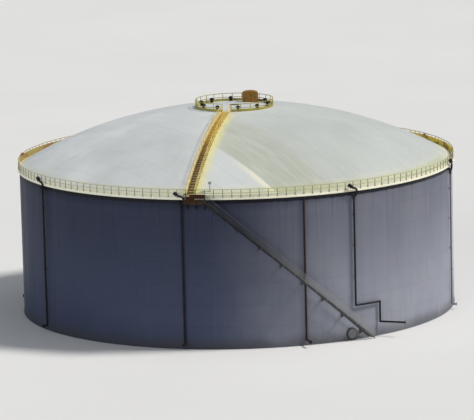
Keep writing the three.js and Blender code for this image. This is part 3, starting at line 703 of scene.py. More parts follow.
class Pattern(Graph):
    """A Geometry Nodes tree with named inputs that ends in real meshes with a material."""

    def __init__(self, name, counts, measures, piece=False):
        tree = bpy.data.node_groups.new(name, "GeometryNodeTree")
        super().__init__(tree)
        kinds = [("Geometry", "Geometry"), ("Material", "Material")]
        if piece:
            kinds.append(("Piece", "Object"))
        kinds += [(label, "Int") for label in counts.split()]
        kinds += [(label, "Float") for label in measures.split()]
        for label, kind in kinds:
            tree.interface.new_socket(label, in_out="INPUT", socket_type="NodeSocket" + kind)
        tree.interface.new_socket("Geometry", in_out="OUTPUT", socket_type="NodeSocketGeometry")
        self.inputs = self.node("NodeGroupInput").socket.node.outputs
        self.index = self.node("GeometryNodeInputIndex")

    def __getitem__(self, label):
        return Value(self, self.inputs[label])

    def groups(self, size):
        """Sorts the points into groups of a size: each one's group, and its place in it."""
        group = self.math("FLOOR", (self.index + 0.5) / size)
        return group, self.index - group * size

    def chain(self, points):
        return self.node("GeometryNodeMeshLine", {"Count": points}, {"mode": "OFFSET"})

    def moved(self, geometry, position):
        return self.node("GeometryNodeSetPosition", {"Geometry": geometry, "Position": position})

    def line(self, points, position):
        return self.moved(self.chain(points), position)

    def without(self, mesh, chosen, **settings):
        sockets = {"Geometry": mesh, "Selection": chosen}
        return self.node("GeometryNodeDeleteGeometry", sockets, settings)

    def ring_point(self, bearing, radius, height):
        x, y = self.math("SINE", bearing), self.math("COSINE", bearing)
        return self.vector(x * radius, -(y * radius), height)

    def turned(self, geometry, shift, turn):
        sockets = {"Geometry": geometry, "Translation": shift, "Rotation": turn}
        return self.node("GeometryNodeTransform", sockets)

    def copies(self, points, piece, rotation):
        sockets = {"Points": points, "Instance": piece, "Rotation": rotation}
        return self.node("GeometryNodeInstanceOnPoints", sockets)

    def piece(self):
        return self.node("GeometryNodeObjectInfo", {"Object": self["Piece"]}, output="Geometry")

    def rod(self, sides, radius, length):
        sockets = {"Vertices": sides, "Radius": radius, "Depth": length}
        return self.node("GeometryNodeMeshCylinder", sockets)

    def ring(self, sides, radius):
        sockets = {"Resolution": sides, "Radius": radius}
        return self.node("GeometryNodeCurvePrimitiveCircle", sockets)

    def tube(self, line, radius, sides):
        curve = self.node("GeometryNodeMeshToCurve", {"Mesh": line})
        sockets = {"Curve": curve, "Profile Curve": self.ring(sides, radius), "Fill Caps": True}
        return self.node("GeometryNodeCurveToMesh", sockets)

    def ended(self, *pieces):
        whole = self.node("GeometryNodeJoinGeometry", {"Geometry": list(pieces)[::-1]})
        real = self.node("GeometryNodeRealizeInstances", {"Geometry": whole})
        sockets = {"Geometry": real, "Material": self["Material"]}
        painted = self.node("GeometryNodeSetMaterial", sockets)
        self.node("NodeGroupOutput", {0: painted})
        return self.tree


def copies_round_axis():
    """Copies of a piece round the tank's axis, rising or falling as they go."""
    p = Pattern("copies_round_axis", "Count", "Radius First Step Height Climb", piece=True)
    bearing = p["First"] + p.index * p["Step"]
    height = p["Height"] + p.index * p["Climb"]
    points = p.line(p["Count"], p.ring_point(bearing, p["Radius"], height))
    return p.ended(p.copies(points, p.piece(), p.vector(z=bearing)))


def rails_round_axis():
    """A top rail and a knee rail round part of a circle."""
    p = Pattern("rails_round_axis", "Points", "Radius First Last Floor Top Knee Tube")
    bearing = p["First"] + p.index / (p["Points"] - 1) * (p["Last"] - p["First"])
    tubes = []
    for level in ("Top", "Knee"):
        place = p.ring_point(bearing, p["Radius"], p["Floor"] + p[level])
        tubes.append(p.tube(p.line(p["Points"], place), p["Tube"], 8))
    return p.ended(*tubes)


def shell_weld_beads():
    """Round beads between the courses and upright beads between the plates."""
    p = Pattern("shell_weld_beads", "Courses Plates", "Stagger Radius Foot Course Bead")
    course, plate = p.groups(p["Plates"])
    bearing = (plate + course * p["Stagger"]) * TURN / p["Plates"]
    middle = p["Foot"] + (course + 0.5) * p["Course"]
    place = p.ring_point(bearing, p["Radius"], middle)
    points = p.line(p["Plates"] * p["Courses"], place)
    uprights = p.copies(points, p.rod(6, p["Bead"], p["Course"]), p.vector(z=bearing))
    seams = p.line(p["Courses"] - 1, p.vector(z=p["Foot"] + (p.index + 1) * p["Course"]))
    sockets = {"Curve": p.ring(240, p["Radius"]), "Profile Curve": p.ring(6, p["Bead"])}
    ring = p.node("GeometryNodeCurveToMesh", sockets)
    return p.ended(uprights, p.copies(seams, ring, p.vector()))


def roof_seams():
    """Weld beads along the roof's strips and across them, laid over the spherical cap."""
    measures = "Strip Plate Stagger Turned Edge Sphere Centre Bead"
    p = Pattern("roof_seams", "Strips", measures)
    step = 0.4
    long_points = 68
    short_points = 6
    plates_across = 7
    half = p["Strips"] * 0.5
    cosine, sine = p.math("COSINE", p["Turned"]), p.math("SINE", p["Turned"])

    def laid(rows, size, place, x, y):
        """Beads of so many points each, laid over the roof and cut off at its edge."""
        last = p.math("GREATER_THAN", place, size - 1.5)
        line = p.without(p.chain(rows * size), last, domain="EDGE", mode="EDGE_FACE")
        out = p.length(x, y)
        inside = p.math("MAXIMUM", p["Sphere"] * p["Sphere"] - out * out, 0.01)
        height = p["Centre"] + p.math("SQRT", inside)
        line = p.moved(line, p.vector(x * cosine + y * sine, x * sine - y * cosine, height))
        beyond = p.math("GREATER_THAN", out, p["Edge"])
        return p.tube(p.without(line, beyond, domain="POINT"), p["Bead"], 4)

    row, place = p.groups(long_points)
    x = (row - half) * p["Strip"]
    long_seams = laid(p["Strips"], long_points, place, x, (place - long_points / 2) * step)

    group, place = p.groups(short_points)
    row = p.math("FLOOR", (group + 0.5) / plates_across)
    number = group - row * plates_across
    x = (row - half + place / (short_points - 1)) * p["Strip"]
    shift = p.math("FLOORED_MODULO", (row - half) * p["Stagger"], 1.0)
    y = (number - (plates_across - 1) / 2 - shift + 0.5) * p["Plate"]
    return p.ended(long_seams, laid(p["Strips"] * plates_across, short_points, place, x, y))


def bolt_circle():
    """Hexagon heads in a circle on a face that looks away from the tank's axis."""
    p = Pattern("bolt_circle", "Count", "Circle Head Thick Face Height Bearing")
    turn = p.index * TURN / p["Count"]
    x, z = p.math("COSINE", turn) * p["Circle"], p.math("SINE", turn) * p["Circle"]
    points = p.line(p["Count"], p.vector(x, 0.0, z))
    heads = p.copies(points, p.rod(6, p["Head"], p["Thick"]), p.vector(pi / 2))
    facing = p.turned(heads, p.vector(0.0, -p["Face"], p["Height"]), (0, 0, 0))
    return p.ended(p.turned(facing, (0, 0, 0), p.vector(z=p["Bearing"])))


def walkway_copies():
    """Copies of a step down the roof along one bearing, each kept level."""
    p = Pattern("walkway_copies", "Count", "Inner Step Sphere Centre Bearing", piece=True)
    radius = p["Inner"] + p.index * p["Step"]
    height = p["Centre"] + p.math("SQRT", p["Sphere"] * p["Sphere"] - radius * radius)
    points = p.line(p["Count"], p.ring_point(p["Bearing"], radius, height))
    return p.ended(p.copies(points, p.piece(), p.vector(z=p["Bearing"])))


def made_by(maker, name, coat, **values):
    """Runs a pattern with its inputs and keeps the result as a plain mesh."""
    tree = bpy.data.node_groups.get(maker.__name__) or maker()
    host = linked(name, bpy.data.meshes.new(name))
    modifier = host.modifiers.new("pattern", "NODES")
    modifier.node_group = tree
    values["Material"] = paint(coat)
    for item in tree.interface.items_tree:
        if item.in_out == "INPUT" and item.name != "Geometry":
            modifier[item.identifier] = values[item.name]
    bpy.context.view_layer.update()
    evaluated = host.evaluated_get(bpy.context.evaluated_depsgraph_get())
    mesh = bpy.data.meshes.new_from_object(evaluated)
    host.modifiers.remove(modifier)
    if not len(mesh.polygons):
        raise RuntimeError(f"the pattern {tree.name} made nothing for {name}")
    host.data = mesh
    mesh.name = name
    return host


def copied(maker, name, coat, shape, **values):
    """Copies a small shape by a pattern, and removes the first one."""
    source = shape.into_object("template")
    made = made_by(maker, name, coat, Piece=source, **values)
    removed(source)
    return made


def joined(name, pieces):
    """Joins pieces into one."""
    whole = bmesh.new()
    for made in pieces:
        whole.from_mesh(made.data)
        removed(made)
    mesh = bpy.data.meshes.new(name)
    whole.to_mesh(mesh)
    whole.free()
    return linked(name, mesh)


# Operators


class TANK_OT_paints(bpy.types.Operator):
    """Make the paints and metals"""

    bl_idname = "tank.paints"
    bl_label = "Paints and Metals"

    def execute(self, context):
        paints = sizes(context, "paints")
        body = sizes(context, "body")
        rust = paints.rust
        shell_paint(paints, body)
        roof_paint(paints, body, sizes(context, "stair").walkway_bearing)
        weld_bead_paint("shell_bead_paint", paints.shell, rust)
        weld_bead_paint("roof_bead_paint", paints.roof, rust)
        for make in (streaked_curb_paint, kick_plate_paint, walkway_paint, landing_steel_paint):
            make(paints)
        sunned_pipe_paint(paints)
        galvanised_steel(paints)
        weathered_paint(
            "rail_paint", paints.yellow, rust, 0.64, scale=0.8, front=(0.50, 0.47, 0.25)
        )
        weathered_paint(
            "post_paint", dimmed(paints.yellow, 0.9), rust, 0.66, gloss=0.6, shine=0.2,
            front=(0.17, 0.15, 0.09),
        )
        weathered_paint("crown_rail_paint", paints.crown_rail, rust)
        weathered_paint("walkway_rail_paint", paints.walkway_rail, rust, 0.64)
        weathered_paint("hood_paint", paints.hood, dimmed(rust, 0.7), 0.56, scale=1.4, gloss=0.7)
        weathered_paint("board_paint", paints.board, dimmed(rust, 0.3), 0.66, shine=0.15)
        # The stair and its stringers: dark high up on the shaded side and paler low down, as
        # painted shade and painted light.
        weathered_paint(
            "stair_paint", paints.stair, rust, 0.66, gloss=0.6, shine=0.2, low=(0.34, 0.345, 0.34)
        )
        weathered_paint(
            "stringer_paint", paints.stringer, rust, 0.7, gloss=0.6, shine=0.15,
            low=(0.085, 0.085, 0.09),
        )
        weathered_paint("manhole_paint", paints.manhole, rust, 0.64)
        for name, own, share, worn in (
            ("foam_paint", paints.dark, 0.25, 0.76),
            ("riser_paint", paints.red_brown, 0.4, 0.7),
        ):
            weathered_paint(name, own, dimmed(rust, share), worn, gloss=0.6, shine=0.15)
        floor_paint()
        return {"FINISHED"}


class TANK_OT_shell(bpy.types.Operator):
    """Make the shell, its bottom plate and their weld beads"""

    bl_idname = "tank.shell"
    bl_label = "Shell"

    def execute(self, context):
        body = sizes(context, "body")
        thick = 0.015
        fillet = 0.012
        lip = 12.6
        sunk = 0.45 * body.bead
        course = (RIM - SHELL_FOOT) / body.courses
        shape = Shape()
        outer = [(SHELL_RADIUS, SHELL_FOOT + i * course) for i in range(body.courses + 1)]
        shape.turned(outer + [(SHELL_RADIUS - thick, RIM), (SHELL_RADIUS - thick, SHELL_FOOT)])
        shape.finished("shell", "shell_paint", "shell_paint", numbered("shell_segment", 8))
        beads = made_by(
            shell_weld_beads, "shell_weld_beads", "shell_bead_paint",
            Courses=body.courses, Plates=body.plates, Stagger=body.stagger,
            Radius=SHELL_RADIUS - sunk, Foot=SHELL_FOOT, Course=course, Bead=body.bead,
        )
        finish_piece(beads, "shell_bead_paint", smooth=60)
        bottom = Shape()
        top = SHELL_FOOT - 0.001
        profile = [(lip, 0.0), (BOTTOM_RADIUS, 0.0), (BOTTOM_RADIUS, top)]
        profile += [(SHELL_RADIUS + fillet, top), (SHELL_RADIUS + SEAT, SHELL_FOOT + fillet)]
        profile += [(lip, SHELL_FOOT + fillet)]
        bottom.turned(profile)
        bottom.finished("bottom_lip", "shell_bead_paint", "bare_steel")
        return {"FINISHED"}


class TANK_OT_roof(bpy.types.Operator):
    """Make the domed roof, its seams and the curb"""

    bl_idname = "tank.roof"
    bl_label = "Roof"

    def execute(self, context):
        body = sizes(context, "body")
        rings, strips = 40, 24
        thick = 0.012
        edge = SHELL_RADIUS - 0.002
        seams_end = SHELL_RADIUS - 0.12
        sunk = 0.0015
        radii = [edge * i / rings for i in range(1, rings + 1)]
        inner = [(r, roof_height(r) - thick) for r in radii[-2::-1]]
        shape = Shape()
        outer = [(r, roof_height(r)) for r in radii]
        shape.turned(outer + [(SHELL_RADIUS - 0.03, RIM)] + inner, 240)
        shape.finished("roof_plates", "roof_paint", "roof_paint", numbered("roof_petal", 8))
        seams = made_by(
            roof_seams, "roof_seams", "roof_bead_paint",
            Strips=strips, Strip=body.roof_strip, Plate=body.roof_plate, Stagger=body.stagger,
            Turned=body.strip_bearing, Edge=seams_end, Sphere=ROOF_SPHERE - sunk,
            Centre=ROOF_CENTRE, Bead=0.005,
        )
        finish_piece(seams, "roof_bead_paint", smooth=60)
        self.curb()
        return {"FINISHED"}

    def curb(self):
        """The bent plate round the eave, with evenly spaced stays behind it."""
        wall = 0.008
        bend = 0.045
        slope = 0.1
        count = 144
        inside = CURB_RADIUS - wall
        curb = Shape()
        profile = [(SHELL_RADIUS + SEAT, RIM), (CURB_RADIUS - bend, RIM)]
        profile += [(CURB_RADIUS, RIM - slope), (CURB_RADIUS, CURB_FOOT), (inside, CURB_FOOT)]
        profile += [(inside, RIM - slope - 0.004), (CURB_RADIUS - bend - 0.003, RIM - wall)]
        curb.turned(profile + [(SHELL_RADIUS + SEAT, RIM - wall)])
        stay = Shape()
        stay.box((-0.004, -inside, CURB_FOOT + 0.01), (0.004, -SHELL_RADIUS, RIM - slope - 0.004))
        stays = copied(
            copies_round_axis, "curb_stays", "curb_paint", stay,
            Count=count, Radius=0.0, First=TURN / count / 2, Step=TURN / count, Height=0.0,
            Climb=0.0,
        )
        made = joined("curb", [curb.into_object("curb_angle"), stays])
        finish_piece(made, "curb_paint", numbered("curb_section", 4))


def handrail_post(height, tube, foot):
    """A handrail post on a foot plate with two bolts."""
    post = Shape()
    post.lathe((0, 0, 0), UP, [(0, tube), (height - tube, tube), (height, tube * 0.6)], 8)
    post.box((-foot, -foot * 0.7, 0), (foot, foot * 0.7, 0.006))
    for x in (-foot * 0.62, foot * 0.62):
        post.lathe((x, 0, 0.005), UP, [(0, 0.006), (0.008, 0.006)], 6)
    return post


class TANK_OT_rim_rail(bpy.types.Operator):
    """Make the handrail round the rim"""

    bl_idname = "tank.rim_rail"
    bl_label = "Rim Handrail"

    def execute(self, context):
        rail = sizes(context, "rails")
        stout = 1.15
        tube = rail.tube * stout
        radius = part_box("rim_rail_2")[1].x - tube
        first, last = rail.gap_last, rail.gap_first + TURN
        inset = rail.tube * 1.4 / radius
        posts = copied(
            copies_round_axis, "rim_posts", "post_paint",
            handrail_post(RAIL_HEIGHT - rail.tube, rail.tube * 1.1, 0.034),
            Count=rail.rim_bays + 1, Radius=radius, First=first + inset,
            Step=(last - first - 2 * inset) / rail.rim_bays, Height=RIM, Climb=0.0,
        )
        finish_piece(posts, "post_paint", smooth=30)
        rails = made_by(
            rails_round_axis, "rim_rails", "rail_paint",
            Points=rail.rim_bays * 2 + 1, Radius=radius, First=first, Last=last, Floor=RIM,
            Top=RAIL_HEIGHT - tube, Knee=RAIL_HEIGHT * 0.53, Tube=tube,
        )
        finish_piece(rails, "rail_paint", numbered("rim_rail", 4))
        near, far = radius - 0.016, radius - 0.012
        middle = RIM + rail.kick_plate
        rear_first, rear_last = radians(84), radians(276)
        kick = Shape()
        kick.turned(oblong(near, far, RIM + 0.004, middle), 284, first, last)
        rear = oblong(near, far, middle + 0.001, RIM + rail.rear_plate)
        kick.turned(rear, 190, rear_first, rear_last)
        kick.finished("rim_kick_plate", "kick_paint", "yellow_paint", smooth=30)
        return {"FINISHED"}


class TANK_OT_crown(bpy.types.Operator):
    """Make the crown's ring handrail, its vents and the hood"""

    bl_idname = "tank.crown"
    bl_label = "Crown"

    def execute(self, context):
        body = sizes(context, "body")
        self.handrail(body.crown_ring, sizes(context, "rails"), sizes(context, "stair"))
        self.vents(body)
        self.hood()
        return {"FINISHED"}

    def handrail(self, radius, rail, stair):
        """Two rails and a kick plate round the crown, open at the walkway."""
        coat = "crown_rail_paint"
        bays = 24
        gate = radians(6.5)
        floor = roof_height(radius)
        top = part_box("crown_rail_right")[1].z - floor - rail.tube
        first = stair.walkway_bearing + gate
        last = stair.walkway_bearing + TURN - gate
        tube = rail.tube * 1.25
        posts = copied(
            copies_round_axis, "crown_posts", coat, handrail_post(top, tube, 0.04),
            Count=bays + 1, Radius=radius, First=first, Step=(last - first) / bays,
            Height=floor - 0.004, Climb=0.0,
        )
        rails = made_by(
            rails_round_axis, "crown_rails", coat,
            Points=bays * 4 + 1, Radius=radius, First=first, Last=last, Floor=floor, Top=top,
            Knee=top / 2, Tube=tube,
        )
        kick = Shape()
        plate = oblong(radius - 0.006, radius + 0.006, floor - 0.002, floor + rail.kick_plate)
        kick.turned(plate, 96, first, last)
        made = joined("crown_handrail", [posts, rails, kick.into_object("crown_kick")])
        finish_piece(made, coat, ["crown_rail_right", "crown_rail_left"])

    def vents(self, body):
        """Capped vents in a circle, and the plate over the crown."""
        vent = Shape()
        profile = [(-0.01, 0.085), (0.15, 0.085), (0.15, 0.075), (0.19, 0.075), (0.17, 0.13)]
        profile += [(0.2, 0.14), (0.25, 0.12), (0.3, 0.06), (0.306, 0.0)]
        vent.lathe((0, 0, 0), UP, profile, 16)
        vent.lathe((0, 0, -0.002), UP, [(0, 0.125), (0.012, 0.125)], 16)
        vents = copied(
            copies_round_axis, "crown_vents", "foam_paint", vent,
            Count=body.vents, Radius=body.vent_ring, First=radians(6), Step=TURN / body.vents,
            Height=roof_height(body.vent_ring), Climb=0.0,
        )
        finish_piece(vents, "foam_paint")
        cover = Shape()
        rings = 8
        radii = [(CROWN_RADIUS - 0.001) * i / rings for i in range(1, rings + 1)]
        profile = [(r, roof_height(r) + 0.003) for r in radii]
        profile += [(r, roof_height(r) - 0.005) for r in reversed(radii)]
        cover.turned(profile, 96)
        cover.finished("crown_cover", "roof_paint", "roof_paint", ["crown_plate"])

    def hood(self):
        """An arched sheet with a rolled edge at both ends and louvres in front."""
        low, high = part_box("vent_hood")
        rise, edge = 0.16, 0.02
        wide = (high.x - low.x) / 2 - edge
        deep = (high.y - low.y) / 2
        middle = (low + high) / 2
        wall = high.z - 0.17
        arch = [(wide * cos(a), rise * sin(a)) for a in (pi * k / 12 for k in range(13))]
        outline = [(wide, low.z - wall)] + arch + [(-wide, low.z - wall)]
        shape = Shape()
        sheet = (-deep + 0.03, deep - 0.03, 0)
        for near, far, grow in (sheet, (-deep, -deep + 0.05, edge), (deep - 0.05, deep, edge)):
            shape.lofted([
                [
                    middle.xy.to_3d() + Vector((x * (1 + grow / wide), y, 0))
                    + UP * (wall + z + (grow * 0.4 if z > 0 else 0))
                    for x, z in outline
                ]
                for y in (near, far)
            ])
        floor = roof_height(hypot(middle.x, low.y)) + 0.1
        left, right = middle.x - wide + 0.05, middle.x + wide - 0.05
        for k in range(5):
            z = floor + k * 0.07
            shape.box((left, low.y - 0.002, z), (right, low.y + 0.02, z + 0.03))
        shape.finished("vent_hood_sheet", "hood_paint", "rusted_paint", ["vent_hood"], 30)


def stair_point(stair, distance, out, height):
    """A point beside the stair: a distance along the shell from its head, and out from it."""
    return around(stair.head_bearing + distance / SHELL_RADIUS, SHELL_RADIUS + out, height)


def stair_line(stair, out, rise=0.0):
    """The pitch line of the whole stair as points."""
    steps = 28
    run = stair.flights * stair.run
    return [
        stair_point(stair, run * i / steps, out, LANDING_LEVEL * (1 - i / steps) + rise)
        for i in range(steps + 1)
    ]


class TANK_OT_stair(bpy.types.Operator):
    """Make the stair round the shell, its treads, stringers and handrail"""

    bl_idname = "tank.stair"
    bl_label = "Stair"

    def execute(self, context):
        stair = sizes(context, "stair")
        self.stringers(stair)
        self.treads(stair)
        self.handrail(stair, sizes(context, "rails").tube)
        return {"FINISHED"}

    def stringers(self, stair):
        """Two channels with flanges that face each other, on triangular brackets."""
        shape = Shape()
        web, flange = 0.006, 0.03
        channel = ((-0.11, 0.02, web), (0.012, 0.02, flange), (-0.11, -0.102, flange))
        reach = stair.gap + stair.width
        for side, turn in ((stair.gap, 1), (reach, -1)):
            for low, high, wide in channel:
                rings = []
                for point in stair_line(stair, side):
                    away = point.xy.to_3d().normalized() * turn * wide
                    base = max(point.z + low, 0.0)
                    a = point.xy.to_3d() + UP * base
                    b = point.xy.to_3d() + UP * max(point.z + high, base + 0.004)
                    rings.append([a, b, b + away, a + away])
                shape.lofted(rings)
        drop = LANDING_LEVEL / stair.flights
        for flight in range(stair.flights):
            for share in (flight + 0.2, flight + 0.7):
                top = LANDING_LEVEL - share * drop - 0.03
                outline = [(0.0, 0.0), (reach, 0.0), (reach, -0.05), (0.0, -0.32)]
                bearing = stair.head_bearing + share * stair.run / SHELL_RADIUS
                outline = [(SHELL_RADIUS + out, top + up) for out, up in outline]
                shape.plate(outline, bearing, 0.005 / SHELL_RADIUS)
        nodes = numbered("stair_flight", 4)
        shape.finished("stair_stringers", "stringer_paint", "stair_paint", nodes, 30)

    def treads(self, stair):
        """Gratings with a front and a back bar."""
        steps = stair.flights * stair.risers
        rise = LANDING_LEVEL / steps
        going = stair.run / stair.risers
        inner, outer = -(stair.gap + 0.006), -(stair.gap + stair.width - 0.006)
        tread = Shape()
        for x in (-0.012, going - 0.018):
            tread.box((x, outer, -0.022), (x + 0.006, inner, 0))
        bars = 9
        for k in range(bars):
            y = outer + (inner - outer) * (k + 0.5) / bars
            tread.box((-0.008, y - 0.002, -0.018), (going - 0.014, y + 0.002, -0.001))
        turn = going / SHELL_RADIUS
        made = copied(
            copies_round_axis, "stair_treads", "stair_paint", tread,
            Count=steps - 1, Radius=SHELL_RADIUS, First=stair.head_bearing + turn, Step=turn,
            Height=LANDING_LEVEL - rise, Climb=-rise,
        )
        finish_piece(made, "stair_paint", smooth=0)

    def handrail(self, stair, tube):
        """A top rail, a knee rail and a thin one below each, on posts and balusters."""
        tube *= 0.92
        thin = 0.009
        out = stair.gap + stair.width + 0.0105
        shape = Shape()
        for share, size in ((1, tube), (0.74, thin), (0.5, tube), (0.26, thin)):
            shape.tube(stair_line(stair, out, RAIL_HEIGHT * share - size), size)
        run = stair.flights * stair.run
        posts = stair.flights * 4
        bars = stair.flights * stair.risers
        end = 0.012
        uprights = [
            (min(max(run * k / posts, end), run - end), -0.09, tube * 0.9, 8)
            for k in range(posts + 1)
        ]
        uprights += [(run * (k + 0.5) / bars, 0.02, 0.006, 6) for k in range(bars)]
        for distance, foot, size, sides in uprights:
            floor = LANDING_LEVEL * (1 - distance / run)
            levels = (max(floor + foot, 0.0), floor + RAIL_HEIGHT - tube)
            shape.tube([stair_point(stair, distance, out, z) for z in levels], size, sides)
        nodes = numbered("stair_rail", 4)
        shape.finished("stair_handrail", "stair_paint", "stair_paint", nodes)


class TANK_OT_landing(bpy.types.Operator):
    """Make the landing below the rim, on its brackets, with its step and rail"""

    bl_idname = "tank.landing"
    bl_label = "Rim Landing"

    def execute(self, context):
        stair = sizes(context, "stair")
        reach = 0.546
        first, last = stair.landing_start, stair.head_bearing
        outer = SHELL_RADIUS + reach
        self.deck(stair, first, last, SHELL_RADIUS + 0.001, outer)
        self.railing(sizes(context, "rails").tube, first, last, outer)
        self.board(first + 0.28 * (last - first), last, outer)
        return {"FINISHED"}

    def deck(self, stair, first, last, inner, outer):
        """A grating in a frame with a deep fascia, on three brackets."""
        level, thick, bar = LANDING_LEVEL, 0.006, 0.005
        top, fascia = level - 0.001, level - 0.095
        shape = Shape()
        shape.turned(oblong(outer - thick, outer, fascia, top), 6, first, last)
        shape.turned(oblong(inner, inner + thick, level - 0.03, top), 6, first, last)
        turn = thick / outer
        end = [(inner, level - 0.03), (inner, top), (outer, top), (outer, fascia)]
        for bearing in (first, last - turn):
            shape.turned(end, 1, bearing, bearing + turn)
        self.grating(shape, first, last, inner, outer, level, 40)
        for radius in (inner + 0.13, inner + 0.26, inner + 0.39):
            shape.turned(oblong(radius, radius + bar, level - 0.018, level - 0.002), 6, first, last)
        near, far = SHELL_RADIUS + SEAT, outer - 0.02
        bracket = [(near, level - 0.55), (far, fascia), (far, level - 0.032), (near, level - 0.032)]
        for share in (0.08, 0.5, 0.92):
            shape.plate(bracket, first + share * (last - first), 0.005 / outer)
        self.step(shape, stair)
        shape.finished("landing_deck", "landing_paint", "rusted_paint", ["rim_landing"], 30)

    def grating(self, shape, first, last, inner, outer, level, bars):
        """Upright bars that point away from the shell, evenly spaced between two bearings."""
        for k in range(bars + 1):
            outline = oblong(inner, outer, level - 0.022, level)
            shape.plate(outline, first + (last - first) * k / bars, 0.0035 / outer)

    def step(self, shape, stair):
        """The box step between the deck and the walkway's foot, and the sill over the curb."""
        half = stair.walkway_width / 2 / SHELL_RADIUS - 0.0006
        first, last = stair.walkway_bearing - half, stair.walkway_bearing + half
        near, far = CURB_RADIUS + 0.001, CURB_RADIUS + 0.15
        top = (LANDING_LEVEL + RIM) / 2
        shape.turned(oblong(near, far, LANDING_LEVEL, top - 0.012), 4, first, last)
        self.grating(shape, first, last, near, far, top, 14)
        sill = [(near, top - 0.01), (near + 0.006, top - 0.01), (near + 0.006, RIM + 0.05)]
        sill += [(near - 0.1, RIM + 0.05), (near - 0.1, RIM + 0.042), (near, RIM + 0.042)]
        shape.turned(sill, 4, first, last)

    def railing(self, tube, first, last, outer):
        """Two rails and a kick plate round the landing's outer side, with posts and short bars."""
        shape = Shape()
        level = LANDING_LEVEL
        line, inner = outer - 0.014, CURB_RADIUS + 0.02
        head = level + RAIL_HEIGHT - tube
        bars = 40
        shape.turned(oblong(line - 0.004, line + 0.004, level, level + 0.1), 6, first, last)
        uprights = [
            (first + (last - first) * k / bars, line, level + 0.3, 0.005, 6) for k in range(1, bars)
        ]
        first, last = first + 0.001, last - 0.001
        for height in (head, level + RAIL_HEIGHT / 2):
            shape.tube(arc(first, last, line, height, 6), tube)
            shape.tube([around(first, line, height), around(first, inner, height)], tube)
        uprights += [(first + k / 4 * (last - first), line, head, tube, 8) for k in range(5)]
        uprights += [(first, inner, head, tube, 8)]
        for bearing, radius, top, size, sides in uprights:
            shape.tube([around(bearing, radius, level), around(bearing, radius, top)], size, sides)
        shape.finished("landing_railing", "landing_paint", "rusted_paint", ["landing_rail"])

    def board(self, first, last, outer):
        """The red-brown board on the landing's rail, with three battens."""
        shape = Shape()
        head = LANDING_LEVEL + RAIL_HEIGHT
        face = outer - 0.001
        sheet = oblong(outer - 0.006, face, head - 0.213, head - 0.004)
        shape.turned(sheet, 6, first, last - 0.0004)
        for share in (0.25, 0.5, 0.75):
            bearing = first + share * (last - first)
            batten = oblong(face, outer + 0.006, head - 0.205, head - 0.012)
            shape.turned(batten, 1, bearing, bearing + 0.012 / outer)
        shape.finished("landing_board", "board_paint", "rusted_paint", smooth=30)


class TANK_OT_walkway(bpy.types.Operator):
    """Make the stepped walkway over the roof with its two rails"""

    bl_idname = "tank.walkway"
    bl_label = "Roof Walkway"

    def execute(self, context):
        stair = sizes(context, "stair")
        inner, outer = 2.385, SHELL_RADIUS - 0.03
        half = stair.walkway_width / 2
        self.steps(stair.walkway_bearing, half, inner, outer)
        for name, side in (("walkway_rail_left", -1), ("walkway_rail_right", 1)):
            edge = side * (half + 0.013)
            tube = sizes(context, "rails").tube
            self.handrail(name, stair.walkway_bearing, edge, tube, inner, outer)
        self.gauge_post()
        return {"FINISHED"}

    def radii(self, inner, outer):
        """Even steps down the roof."""
        steps = 40
        return [inner + (outer - inner) * i / steps for i in range(steps + 1)]

    def steps(self, bearing, half, inner, outer):
        """Two side plates that follow the roof, and treads with turned-down edges and grips."""
        shape = Shape()
        for side in (0.006 - half, half):
            strip = [(side, 0.002), (side, 0.075), (side - 0.006, 0.075), (side - 0.006, 0.002)]
            shape.lofted([
                [around(bearing, radius, roof_height(radius) + up, x) for x, up in strip]
                for radius in self.radii(inner, outer)
            ])
        step = 0.23
        inside = half - 0.006
        tread = Shape()
        tread.box((-inside, -0.1, 0.045), (inside, 0.1, 0.05))
        tread.box((-inside, -0.1, 0.02), (inside, -0.095, 0.045))
        tread.box((-inside, 0.095, 0.03), (inside, 0.1, 0.045))
        grips = 9
        for k in range(grips):
            x = -inside + 0.02 + (inside - 0.02) * 2 * k / (grips - 1)
            tread.box((x - 0.004, -0.09, 0.049), (x + 0.004, 0.09, 0.052))
        treads = copied(
            walkway_copies, "walkway_treads", "walkway_paint", tread,
            Count=int((outer - inner - 0.1) / step), Inner=inner + 0.12, Step=step,
            Sphere=ROOF_SPHERE, Centre=ROOF_CENTRE, Bearing=bearing,
        )
        made = joined("walkway_steps", [shape.into_object("walkway_sides"), treads])
        finish_piece(made, "walkway_paint", ["roof_walkway"], 30)

    def handrail(self, name, bearing, edge, tube, inner, outer):
        """Two rails that follow the roof, on posts."""
        shape = Shape()
        for rise in (RAIL_HEIGHT - tube, RAIL_HEIGHT / 2):
            radii = self.radii(inner, outer)
            shape.tube([around(bearing, r, roof_height(r) + rise, edge) for r in radii], tube)
        posts = 20
        for k in range(posts):
            r = inner + 0.05 + (outer - inner - 0.1) * k / (posts - 1)
            levels = (roof_height(r) - 0.002, roof_height(r) + RAIL_HEIGHT - tube)
            shape.tube([around(bearing, r, z, edge) for z in levels], tube)
        shape.finished(name + "_tubes", "walkway_rail_paint", "yellow_paint", [name])

    def gauge_post(self):
        """A pipe post with a flanged foot and a lidded box for a head."""
        bearing, radius = radians(-6.9), 12.5
        foot = around(bearing, radius, roof_height(radius))
        box_height = 0.13
        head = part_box("gauge_post")[1].z - box_height
        profile = [(-0.005, 0.07), (0.012, 0.07), (0.012, 0.03), (head - foot.z + 0.01, 0.03)]
        shape = Shape()
        shape.lathe(foot, UP, profile, 16)
        for wide, deep, low, high in ((0.09, 0.06, 0, 0.12), (0.1, 0.07, 0.11, 0.125)):
            corners = (-wide, -deep - radius, head + low), (wide, deep - radius, head + high)
            shape.box(*corners, bearing)
        shape.finished("gauge_post_and_head", "galvanised_steel", "bare_steel", ["gauge_post"])


